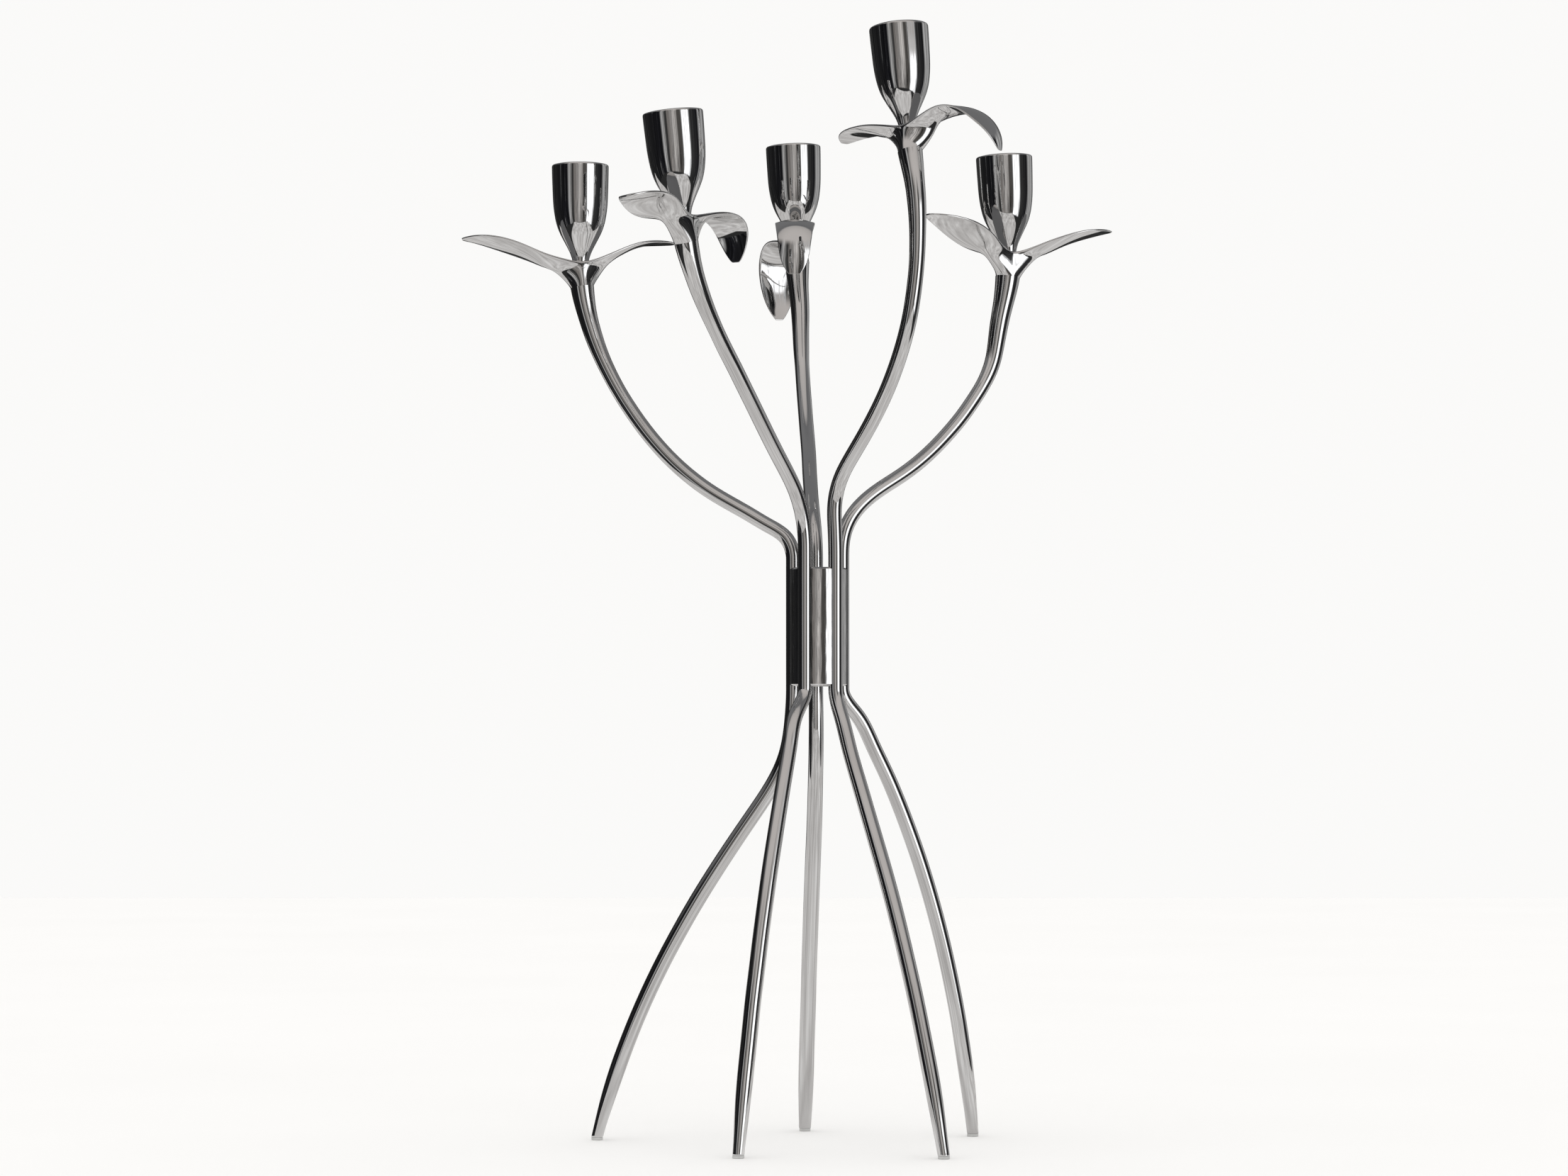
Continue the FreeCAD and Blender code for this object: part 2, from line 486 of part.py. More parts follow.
def leaf_pair(name, arm_curve, seam, axis, z):
    key = "leaf_pair_" + name
    total = arm_curve.length()
    drop = dim("shoulder_drop")
    stops = stations(arm_curve, [total - drop, total - drop * 0.7, total - drop * 0.4, total - drop * 0.12])
    stops.append((seam, z))
    x = axis.Rotation.multVec(V(1, 0, 0))
    words = ["dims.shoulder_radius * %.3f" % STEMS[name]["swell"], "dims.shoulder_radius * 0.99", "dims.shoulder_radius * 0.99",
             "dims.calyx_radius", "dims.calyx_radius * 0.93"]
    boss = ring_loft(key + "_boss", carried_frames(stops, x), words)
    a = leaf(key + "_a", arm_curve, seam, *LEAVES[name][0])
    b = leaf(key + "_b", arm_curve, seam, *LEAVES[name][1])
    whole = fuse(key + "_whole", [boss] + a + b)
    doc.recompute()
    loose = boss.Shape.Volume + sum(p.Shape.Volume for p in a + b)
    if not 0.85 * loose < whole.Shape.Volume < loose:
        raise RuntimeError("%s lost a leaf: %.0f of %.0f" % (key, whole.Shape.Volume, loose))
    socket = cylinder(key + "_socket", "dims.tenon_radius + dims.socket_play", "dims.shoulder_drop + 4 - dims.tenon_top + dims.socket_play",
                      FreeCAD.Placement(seam - z * (dim("shoulder_drop") + 4), axis.Rotation))
    hole = cylinder(key + "_stud_hole", "dims.stud_radius + dims.stud_play", "40", FreeCAD.Placement(seam - z * 20, axis.Rotation))
    # the sheath ends flush with the rod's shoulder
    t = stops[0][1]
    flush = cylinder(key + "_flush_cut", "dims.shoulder_radius + 2.6", "20",
                     FreeCAD.Placement(stops[0][0] - t * 20, FreeCAD.Rotation(V(0, 0, 1), t)))
    tools = fuse(key + "_tools", [socket, hole, flush])
    done = cut(key + "_bored", whole, tools)
    hand_out(done, key)


# ---------------------------------------------------------------- cups, studs, pads
def candle_cup(name, axis):
    h = dim("cup_height")
    r = dim("cup_radius")
    outer = [(dim("neck_radius"), 0.0), (5.3, 3.4), (7.5, 8.4), (9.6, 12.4), (11.6, 16.4), (13.3, 21.0), (14.4, 26.0),
             (15.15, 32.0), (15.55, 40.0), (15.8, 48.0), (r, h - 1.2)]
    bore_r = dim("stud_radius") + dim("stud_play")
    bore_top = dim("stud_above") + 0.5
    floor = h - dim("socket_floor")
    s = dim("socket_radius")
    m = dim("mouth_radius")
    segments = [
        outer,
        [(r, h - 1.2), (r - 0.35, h - 0.35)],
        [(r - 0.35, h - 0.35), (r - 0.9, h)],
        [(r - 0.9, h), (m, h - 0.3)],
        [(m, h - 0.3), (s, h - dim("mouth_depth"))],
        [(s, h - dim("mouth_depth")), (s, floor)],
        [(s, floor), (s - 2.5, floor - 1.6)],
        [(s - 2.5, floor - 1.6), (0.0, floor - 2.2)],
        [(0.0, floor - 2.2), (0.0, bore_top + 0.8)],
        [(0.0, bore_top + 0.8), (bore_r, bore_top)],
        [(bore_r, bore_top), (bore_r, 0.6)],
        [(bore_r, 0.6), (bore_r + 0.4, 0.0)],
        [(bore_r + 0.4, 0.0), (dim("neck_radius"), 0.0)],
    ]
    hand_out(turned("candle_cup_%s_body" % name, "candle_cup_%s" % name, segments, axis), "candle_cup_%s" % name)


def cup_stud(name, axis):
    r = dim("stud_radius")
    lo = -dim("stud_below")
    hi = dim("stud_above")
    c = 0.6
    pts = [(0.0, lo), (r - c, lo), (r, lo + c), (r, hi - c), (r - c, hi), (0.0, hi)]
    segments = [[pts[i], pts[(i + 1) % len(pts)]] for i in range(len(pts))]
    hand_out(turned("cup_stud_%s_body" % name, "cup_stud_%s" % name, segments, axis), "cup_stud_%s" % name)


def foot_pad(name, leg_curve):
    # centre of the rod where it is cut level on top of the pad
    best = None
    total = leg_curve.length()
    for k in range(401):
        s = total - 30 + 30 * k / 400.0
        p = leg_curve.value(leg_curve.parameterAtDistance(s, leg_curve.FirstParameter))
        gap = abs(p.z - dim("pad_thickness"))
        if best is None or gap < best[0]:
            best = (gap, p)
    p = best[1]
    pad = cylinder("foot_pad_" + name, "dims.pad_radius", "dims.pad_thickness", FreeCAD.Placement(V(p.x, p.y, 0), FreeCAD.Rotation()))
    hand_out(pad, "foot_pad_" + name)


for name in ("left", "front_left", "back", "front_right", "right"):
    arm_curve, leg_curve, seam, axis, z = stem(name, STEMS[name])
    leaf_pair(name, arm_curve, seam, axis, z)
    candle_cup(name, axis)
    cup_stud(name, axis)
    foot_pad(name, leg_curve)

# ---------------------------------------------------------------- write
doc.recompute()
for obj in doc.Objects:
    if "Invalid" in obj.State or "Error" in obj.State:
        raise RuntimeError("%s is %s" % (obj.Name, obj.State))
os.makedirs("parts", exist_ok=True)
for obj, label in parts_out:
    shape = obj.Shape
    if shape.isNull() or not shape.isValid():
        raise RuntimeError("%s has no valid shape" % label)
    if shape.Volume <= 0 or len(shape.Solids) < 1:
        raise RuntimeError("%s has no solid" % label)
    shape.exportStep("parts/%s.step" % label)
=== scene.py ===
import math

import bmesh
import bpy
import numpy as np
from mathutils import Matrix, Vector

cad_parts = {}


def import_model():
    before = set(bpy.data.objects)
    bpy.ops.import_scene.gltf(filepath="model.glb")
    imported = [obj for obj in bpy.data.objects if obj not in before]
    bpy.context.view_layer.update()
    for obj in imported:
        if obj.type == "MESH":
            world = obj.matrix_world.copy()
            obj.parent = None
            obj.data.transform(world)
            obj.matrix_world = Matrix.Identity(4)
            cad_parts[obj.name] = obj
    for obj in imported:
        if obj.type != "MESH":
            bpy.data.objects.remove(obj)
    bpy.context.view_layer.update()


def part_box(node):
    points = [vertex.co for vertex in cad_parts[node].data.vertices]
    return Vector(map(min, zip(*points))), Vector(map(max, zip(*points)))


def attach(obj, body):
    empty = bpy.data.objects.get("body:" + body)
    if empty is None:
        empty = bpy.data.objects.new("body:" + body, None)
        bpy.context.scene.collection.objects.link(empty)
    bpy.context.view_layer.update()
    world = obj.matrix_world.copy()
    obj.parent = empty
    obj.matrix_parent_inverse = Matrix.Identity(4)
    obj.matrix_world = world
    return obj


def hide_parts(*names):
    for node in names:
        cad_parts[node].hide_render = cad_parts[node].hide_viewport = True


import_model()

# A polished five-light candelabrum: five rods held in a grooved collar, each one a
# leg below and an arm above, with a pair of leaves and a candle cup on every arm.
# Shapes are worked out in millimetres and scaled to metres when a mesh is made.

# Per stem: angle of its groove (degrees from +X), centre-line above the collar up to
# the cup seam, centre-line below it down to the ground, and the lean of the cup.
STEMS = {
    "left": {
      "angle": 167,
      "arm": [
        (-17.5, 4.0, 332.4), (-27.8, 6.2, 339.9), (-38.9, 8.5, 346.6), (-50.1, 10.9, 353.1), (-60.9, 13.2, 359.8),
        (-70.9, 15.3, 367.3), (-80.2, 17.3, 375.6), (-88.8, 19.1, 384.7), (-96.7, 20.8, 394.4), (-104.0, 22.4, 404.7),
        (-110.8, 23.8, 415.5), (-116.9, 25.1, 426.9), (-122.2, 26.2, 438.6), (-126.5, 27.1, 450.7), (-129.8, 27.8, 463.1),
        (-131.9, 28.3, 475.7), (-132.7, 28.4, 488.5)],
      "leg": [
        (-14.8, 3.4, 231.0), (-18.1, 4.1, 212.6), (-25.8, 5.7, 195.8), (-36.1, 7.8, 180.0), (-46.7, 10.1, 164.4),
        (-57.0, 12.2, 148.7), (-66.9, 14.3, 132.8), (-76.3, 16.2, 116.5), (-85.2, 18.1, 99.9), (-93.5, 19.8, 82.9),
        (-101.1, 21.4, 65.6), (-108.0, 22.9, 48.0), (-114.2, 24.2, 30.2), (-119.7, 25.3, 12.1), (-124.3, 26.3, -6.1)],
      "tilt": (-0.006, 0.000), "swell": 1.00},
    "front_left": {
      "angle": 239,
      "arm": [
        (-7.6, -12.8, 334.0), (-9.4, -16.0, 346.5), (-12.8, -21.8, 357.4), (-17.4, -29.4, 366.8), (-22.3, -37.8, 375.6),
        (-27.0, -46.1, 384.3), (-31.6, -54.4, 393.1), (-36.2, -62.6, 402.0), (-40.8, -70.7, 410.8), (-45.5, -78.6, 419.8),
        (-50.4, -86.4, 428.9), (-55.1, -93.8, 438.3), (-59.7, -100.5, 448.3), (-63.9, -106.5, 459.0), (-67.5, -111.4, 470.5),
        (-70.3, -114.8, 482.8), (-72.0, -116.0, 495.5)],
      "leg": [
        (-12.3, -20.6, 235.5), (-15.7, -26.3, 218.9), (-18.5, -31.1, 201.8), (-21.3, -35.8, 184.8), (-24.0, -40.4, 167.8),
        (-26.6, -44.8, 150.8), (-29.0, -48.9, 133.6), (-31.3, -52.7, 116.3), (-33.4, -56.4, 99.0), (-35.5, -59.8, 81.6),
        (-37.3, -62.9, 64.1), (-39.1, -65.9, 46.6), (-40.8, -68.7, 29.0), (-42.3, -71.3, 11.4), (-43.7, -73.7, -6.2)],
      "tilt": (-0.096, -0.030), "swell": 0.97},
    "back": {
      "angle": 95,
      "arm": [
        (-1.7, 16.2, 333.9), (-2.7, 22.6, 345.7), (-3.6, 31.4, 355.9), (-4.1, 41.2, 364.6), (-4.5, 51.3, 372.7),
        (-4.8, 60.9, 381.3), (-5.4, 69.7, 391.1), (-6.2, 77.5, 401.9), (-7.0, 84.4, 413.2), (-7.8, 90.7, 424.8),
        (-8.5, 96.2, 436.6), (-9.0, 101.1, 448.7), (-9.3, 105.2, 461.2), (-9.8, 108.6, 474.0), (-10.8, 111.7, 486.7),
        (-11.4, 115.2, 499.4), (-11.7, 117.0, 512.4)],
      "leg": [
        (-1.1, 14.5, 231.7), (-1.2, 17.1, 213.8), (-1.5, 21.3, 196.2), (-1.9, 26.8, 178.9), (-2.5, 33.0, 161.8),
        (-3.1, 39.6, 144.7), (-3.7, 45.9, 127.6), (-4.2, 51.8, 110.3), (-4.8, 57.1, 92.9), (-5.2, 62.0, 75.3),
        (-5.7, 66.3, 57.7), (-6.2, 70.2, 39.9), (-6.6, 73.6, 22.0), (-7.0, 76.5, 4.0), (-7.5, 78.9, -14.1)],
      "tilt": (-0.035, 0.000), "swell": 1.08},
    "front_right": {
      "angle": 311,
      "arm": [
        (9.0, -10.2, 336.4), (9.0, -10.2, 351.5), (12.1, -15.1, 364.4), (17.7, -23.6, 375.2), (23.9, -33.1, 385.4),
        (29.9, -42.4, 396.0), (35.5, -51.0, 407.3), (40.4, -58.6, 419.4), (44.6, -65.1, 432.2), (48.0, -70.2, 445.9),
        (50.3, -73.8, 460.3), (51.8, -76.1, 475.2), (52.3, -77.0, 490.3), (52.0, -76.5, 505.5), (50.7, -74.5, 520.4),
        (48.7, -71.0, 535.1), (47.0, -68.8, 549.9)],
      "leg": [
        (12.8, -14.7, 232.7), (16.9, -19.5, 215.8), (21.5, -24.8, 199.2), (26.2, -30.3, 182.6), (30.9, -35.8, 166.0),
        (35.6, -41.1, 149.3), (40.0, -46.2, 132.6), (44.1, -51.1, 115.6), (48.0, -55.6, 98.5), (51.7, -59.8, 81.3),
        (55.1, -63.8, 64.0), (58.4, -67.5, 46.6), (61.4, -71.0, 29.1), (64.1, -74.2, 11.5), (66.7, -77.2, -6.2)],
      "tilt": (-0.081, 0.070), "swell": 1.02},
    "right": {
      "angle": 23,
      "arm": [
        (14.0, 6.0, 333.7), (18.7, 8.3, 345.1), (26.5, 12.1, 354.2), (36.0, 16.7, 361.6), (46.1, 21.6, 368.4),
        (55.6, 26.3, 375.7), (64.4, 30.6, 383.8), (72.5, 34.6, 392.5), (80.2, 38.3, 401.8), (87.3, 41.8, 411.9),
        (93.8, 44.9, 422.6), (98.6, 47.2, 434.2), (101.0, 48.5, 446.4), (103.1, 49.6, 458.9), (105.7, 50.7, 471.5),
        (107.6, 51.5, 484.1), (107.9, 51.8, 496.8)],
      "leg": [
        (21.7, 10.3, 234.8), (29.9, 14.8, 219.2), (37.5, 19.0, 203.2), (44.5, 22.8, 186.9), (50.9, 26.3, 170.2),
        (56.8, 29.6, 153.3), (62.1, 32.5, 136.2), (66.9, 35.1, 118.8), (71.2, 37.5, 101.2), (75.0, 39.6, 83.5),
        (78.4, 41.4, 65.7), (81.2, 43.0, 47.8), (83.7, 44.4, 29.8), (85.7, 45.5, 11.7), (87.3, 46.3, -6.3)],
      "tilt": (-0.042, 0.000), "swell": 1.05},
}

# Per leaf: direction, lift at the root, then the midrib as
# (reach, rise above the seam, width, half angle of the cupped section, roll).
LEAVES = {
    "left": [
        (178, 0.0, [(19.0, -2.4, 22.5, 34, 9), (27.0, 2.0, 24.5, 20, 12), (36.0, 6.7, 25.5, 10, 13), (46.5, 10.6, 24.5, 4, 12),
                    (56.0, 12.8, 19.5, 0, 9), (62.5, 13.5, 12.5, -4, 6), (66.6, 13.2, 5.0, -4, 4)]),
        (28, 2.4, [(18.5, 2.0, 22.0, 34, -4), (25.0, 6.4, 24.0, 20, -4), (32.5, 10.4, 25.0, 10, -3), (41.5, 13.0, 23.5, 2, 0),
                   (50.0, 13.8, 18.5, -4, 0), (55.0, 13.8, 12.0, -6, 0), (58.2, 13.5, 5.0, -6, 0)])],
    "front_left": [
        (235, 0.0, [(18.5, -1.9, 24.0, 34, 16), (25.0, 0.8, 26.0, 22, 20), (31.5, 3.1, 25.0, 14, 18), (38.0, 4.7, 21.5, 8, 13),
                    (44.0, 5.3, 16.0, 2, 9), (48.2, 5.0, 10.0, 0, 5), (51.0, 4.2, 4.5, 0, 3)]),
        (57, 0.0, [(18.5, -0.4, 22.0, 28, 0), (26.5, 2.8, 23.0, 8, 0), (35.5, 4.2, 23.5, -10, 0), (43.4, 2.4, 23.0, -20, 0),
                   (48.2, -2.8, 21.0, -22, 0), (49.8, -9.0, 17.0, -20, 0), (50.3, -14.8, 11.5, -14, 0), (50.4, -19.6, 4.5, -8, 0)])],
    "back": [
        (268, 0.0, [(18.0, 1.8, 21.5, 30, 0), (23.0, 6.0, 22.0, 4, 0), (28.5, 8.2, 22.5, -22, 0), (34.0, 5.4, 22.0, -32, 0),
                    (37.2, -1.6, 20.0, -30, 0), (38.4, -9.5, 18.0, -26, 0), (38.6, -17.5, 15.0, -18, 0), (38.0, -24.5, 7.5, -8, 0)]),
        (111, 0.0, [(18.0, -2.2, 22.0, 32, 0), (22.8, -2.4, 23.0, 14, 0), (27.6, -5.8, 24.0, -2, 0), (30.9, -12.8, 24.0, -12, 0),
                    (31.9, -21.4, 22.5, -18, 0), (31.2, -30.6, 18.5, -18, 0), (29.6, -38.2, 12.5, -14, 0), (28.0, -44.2, 5.0, -8, 0)])],
    "front_right": [
        (130, 0.0, [(18.5, -3.2, 23.0, 34, 9), (25.0, -1.4, 24.5, 20, 7), (32.5, 0.2, 25.0, 8, 2), (40.0, 0.8, 22.5, -2, 0),
                    (46.0, 0.0, 17.0, -6, 0), (49.6, -1.6, 11.0, -8, 0), (51.6, -3.4, 4.5, -6, 0)]),
        (345, 1.0, [(17.0, 2.8, 22.5, 28, -10), (22.5, 6.8, 24.5, 10, -6), (28.5, 8.6, 25.5, -8, 0), (35.0, 7.9, 25.5, -20, 7),
                    (42.0, 4.3, 24.0, -26, 13), (47.4, -1.6, 20.0, -26, 14), (50.2, -8.8, 13.5, -18, 12), (50.8, -15.0, 5.0, -8, 8)])],
    "right": [
        (218, 0.0, [(19.0, 0.4, 23.0, 34, 11), (26.0, 5.0, 25.0, 22, 14), (34.5, 9.6, 25.5, 14, 12), (43.0, 13.2, 22.0, 8, 8),
                    (51.0, 15.6, 16.0, 2, 5), (56.5, 16.5, 10.0, 0, 3), (59.8, 16.8, 4.5, 0, 2)]),
        (12, 1.0, [(19.0, -0.6, 23.0, 34, -11), (26.5, 3.2, 24.5, 20, -11), (35.5, 7.6, 25.0, 10, -9), (45.0, 11.2, 23.5, 2, -7),
                   (53.0, 12.9, 18.5, -4, -4), (57.5, 13.4, 12.0, -6, -2), (60.5, 13.3, 5.0, -6, 0)])],
}
# Where a leaf leaves the rod: it starts as half a tube and opens out.
SHEATH = [(6.3, -13.4, 11.0, 50, 0, 0.5), (7.9, -11.2, 14.5, 54, 0, 0.75), (10.6, -8.2, 18.0, 54, 0, 0.9),
          (13.8, -5.2, 20.5, 46, 0, 1.0)]

# ---------------------------------------------------------------- small maths
def unit(v):
    v = np.asarray(v, float)
    return v / np.linalg.norm(v)


class Smooth:
    """A smooth curve through points, measured by arc length."""

    def __init__(self, points, start=None, fine=2400):
        p = np.asarray(points, float)
        d = np.linalg.norm(np.diff(p, axis=0), axis=1)
        t = np.concatenate([[0.0], np.cumsum(d)])
        n = len(p)

        def end_slope(a, b, c, ta, tb, tc):
            return a * (2 * ta - tb - tc) / ((ta - tb) * (ta - tc)) + b * (ta - tc) / ((tb - ta) * (tb - tc)) + c * (ta - tb) / ((tc - ta) * (tc - tb))

        m = np.zeros((n, n))
        r = np.zeros((n, p.shape[1]))
        m[0, 0] = m[-1, -1] = 1.0
        r[0] = np.asarray(start, float) if start is not None else end_slope(p[0], p[1], p[2], t[0], t[1], t[2])
        r[-1] = end_slope(p[-1], p[-2], p[-3], t[-1], t[-2], t[-3])
        for i in range(1, n - 1):
            a, b = t[i] - t[i - 1], t[i + 1] - t[i]
            m[i, i - 1], m[i, i], m[i, i + 1] = b, 2 * (a + b), a
            r[i] = 3 * (b * (p[i] - p[i - 1]) / a + a * (p[i + 1] - p[i]) / b)
        self.p, self.t, self.s = p, t, np.linalg.solve(m, r)
        self.u = np.linspace(0, t[-1], fine)
        self.x = self.at(self.u)
        self.arc = np.concatenate([[0.0], np.cumsum(np.linalg.norm(np.diff(self.x, axis=0), axis=1))])
        self.length = self.arc[-1]

    def _cell(self, u):
        u = np.asarray(u, float)
        k = np.clip(np.searchsorted(self.t, u, side="right") - 1, 0, len(self.t) - 2)
        h = self.t[k + 1] - self.t[k]
        return k, h, (u - self.t[k]) / h

    def at(self, u):
        k, h, w = self._cell(u)
        w, h = w[..., None], h[..., None]
        a, b = self.p[k], self.p[k + 1]
        c, d = self.s[k] * h, self.s[k + 1] * h
        return a * (1 + 2 * w) * (1 - w) ** 2 + c * w * (1 - w) ** 2 + b * w * w * (3 - 2 * w) - d * w * w * (1 - w)

    def slope(self, u):
        k, h, w = self._cell(u)
        w, h = w[..., None], h[..., None]
        a, b = self.p[k], self.p[k + 1]
        c, d = self.s[k] * h, self.s[k + 1] * h
        g = (a * 6 * w * (w - 1) + c * (1 - w) * (1 - 3 * w) + b * 6 * w * (1 - w) + d * w * (3 * w - 2)) / h
        return g / np.linalg.norm(g, axis=-1, keepdims=True)

    def along(self, s):
        u = np.interp(s, self.arc, self.u)
        return self.at(u), self.slope(u)


def fair(x, xs, ys):
    """Smooth values through (xs, ys)."""
    pts = np.column_stack([np.asarray(xs, float), np.asarray(ys, float)])
    xs, ys = pts[:, 0], pts[:, 1]
    h, dl = np.diff(xs), np.diff(ys) / np.diff(xs)
    s = np.zeros(len(xs))
    s[0], s[-1] = dl[0], dl[-1]
    for i in range(1, len(xs) - 1):
        if dl[i - 1] * dl[i] > 0:
            w1, w2 = 2 * h[i] + h[i - 1], h[i] + 2 * h[i - 1]
            s[i] = (w1 + w2) / (w1 / dl[i - 1] + w2 / dl[i])
    k = np.clip(np.searchsorted(xs, x, side="right") - 1, 0, len(xs) - 2)
    w = (np.clip(x, xs[0], xs[-1]) - xs[k]) / h[k]
    return ys[k] * (1 + 2 * w) * (1 - w) ** 2 + s[k] * h[k] * w * (1 - w) ** 2 + ys[k + 1] * w * w * (3 - 2 * w) - s[k + 1] * h[k] * w * w * (1 - w)


def blur(values, n):
    v = np.asarray(values, float)
    for _ in range(n):
        w = v.copy()
        w[1:-1] = 0.25 * v[:-2] + 0.5 * v[1:-1] + 0.25 * v[2:]
        v = w
    return v


SHIFT = np.array([15.89, 4.69, 0.0])
BASE, HEIGHT = 251.0, 65.0
RING, ROD, ARM, LEG, FOOT = 14.2, 4.0, 4.15, 4.4, 3.15
SHOULDER, DROP, CALYX, THICK, PAD = 6.6, 14.0, 6.7, 2.1, 1.6


def mesh_object(name, verts, faces, materials, body, nodes, sharp=40.0, face_material=None):
    """A mesh in millimetres becomes a piece that rides its body and stands for its CAD node."""
    me = bpy.data.meshes.new(name)
    me.from_pydata([tuple(v) for v in np.asarray(verts, float) * 0.001], [], [tuple(f) for f in faces])
    me.validate()
    for m in materials:
        me.materials.append(m)
    if face_material is not None:
        me.polygons.foreach_set("material_index", np.asarray(face_material, np.int32))
    me.polygons.foreach_set("use_smooth", np.ones(len(me.polygons), bool))
    me.set_sharp_from_angle(angle=math.radians(sharp))
    me.update()
    ob = bpy.data.objects.new(name, me)
    bpy.context.scene.collection.objects.link(ob)
    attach(ob, body)
    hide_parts(*nodes)
    return ob


def grid_faces(rows, cols, start=0, closed=True, flip=False):
    out = []
    for i in range(rows - 1):
        for j in range(cols if closed else cols - 1):
            k = (j + 1) % cols
            f = (start + i * cols + j, start + i * cols + k, start + (i + 1) * cols + k, start + (i + 1) * cols + j)
            out.append(f[::-1] if flip else f)
    return out


def lathe(profile, seg, origin, z_axis):
    """Rings of a profile (r, z) about a leaning axis. r = 0 at an end closes it to a point."""
    z = unit(z_axis)
    x = unit(np.cross([0, 1, 0], z))
    y = np.cross(z, x)
    a = np.linspace(0, 2 * np.pi, seg, endpoint=False)
    verts, faces, owner = [], [], []
    rings = []
    for r, h in profile:
        if r < 1e-6:
            rings.append([len(verts)])
            verts.append(origin + z * h)
        else:
            rings.append(list(range(len(verts), len(verts) + seg)))
            verts += list(origin + z * h + np.outer(np.cos(a) * r, x) + np.outer(np.sin(a) * r, y))
    for i in range(len(rings) - 1):
        p, q = rings[i], rings[i + 1]
        for j in range(seg):
            k = (j + 1) % seg
            if len(p) == 1 and len(q) == 1:
                continue
            if len(p) == 1:
                faces.append((p[0], q[k], q[j]))
            elif len(q) == 1:
                faces.append((p[j], p[k], q[0]))
            else:
                faces.append((p[j], p[k], q[k], q[j]))
            owner.append(i)
    return verts, faces, owner


# ---------------------------------------------------------------- stems
SWELL = [(54, ARM * 1.02), (42, ARM * 1.08), (30, ARM * 1.19), (18, ARM * 1.29), (10, SHOULDER * 0.89), (5, SHOULDER * 0.95), (0, SHOULDER)]


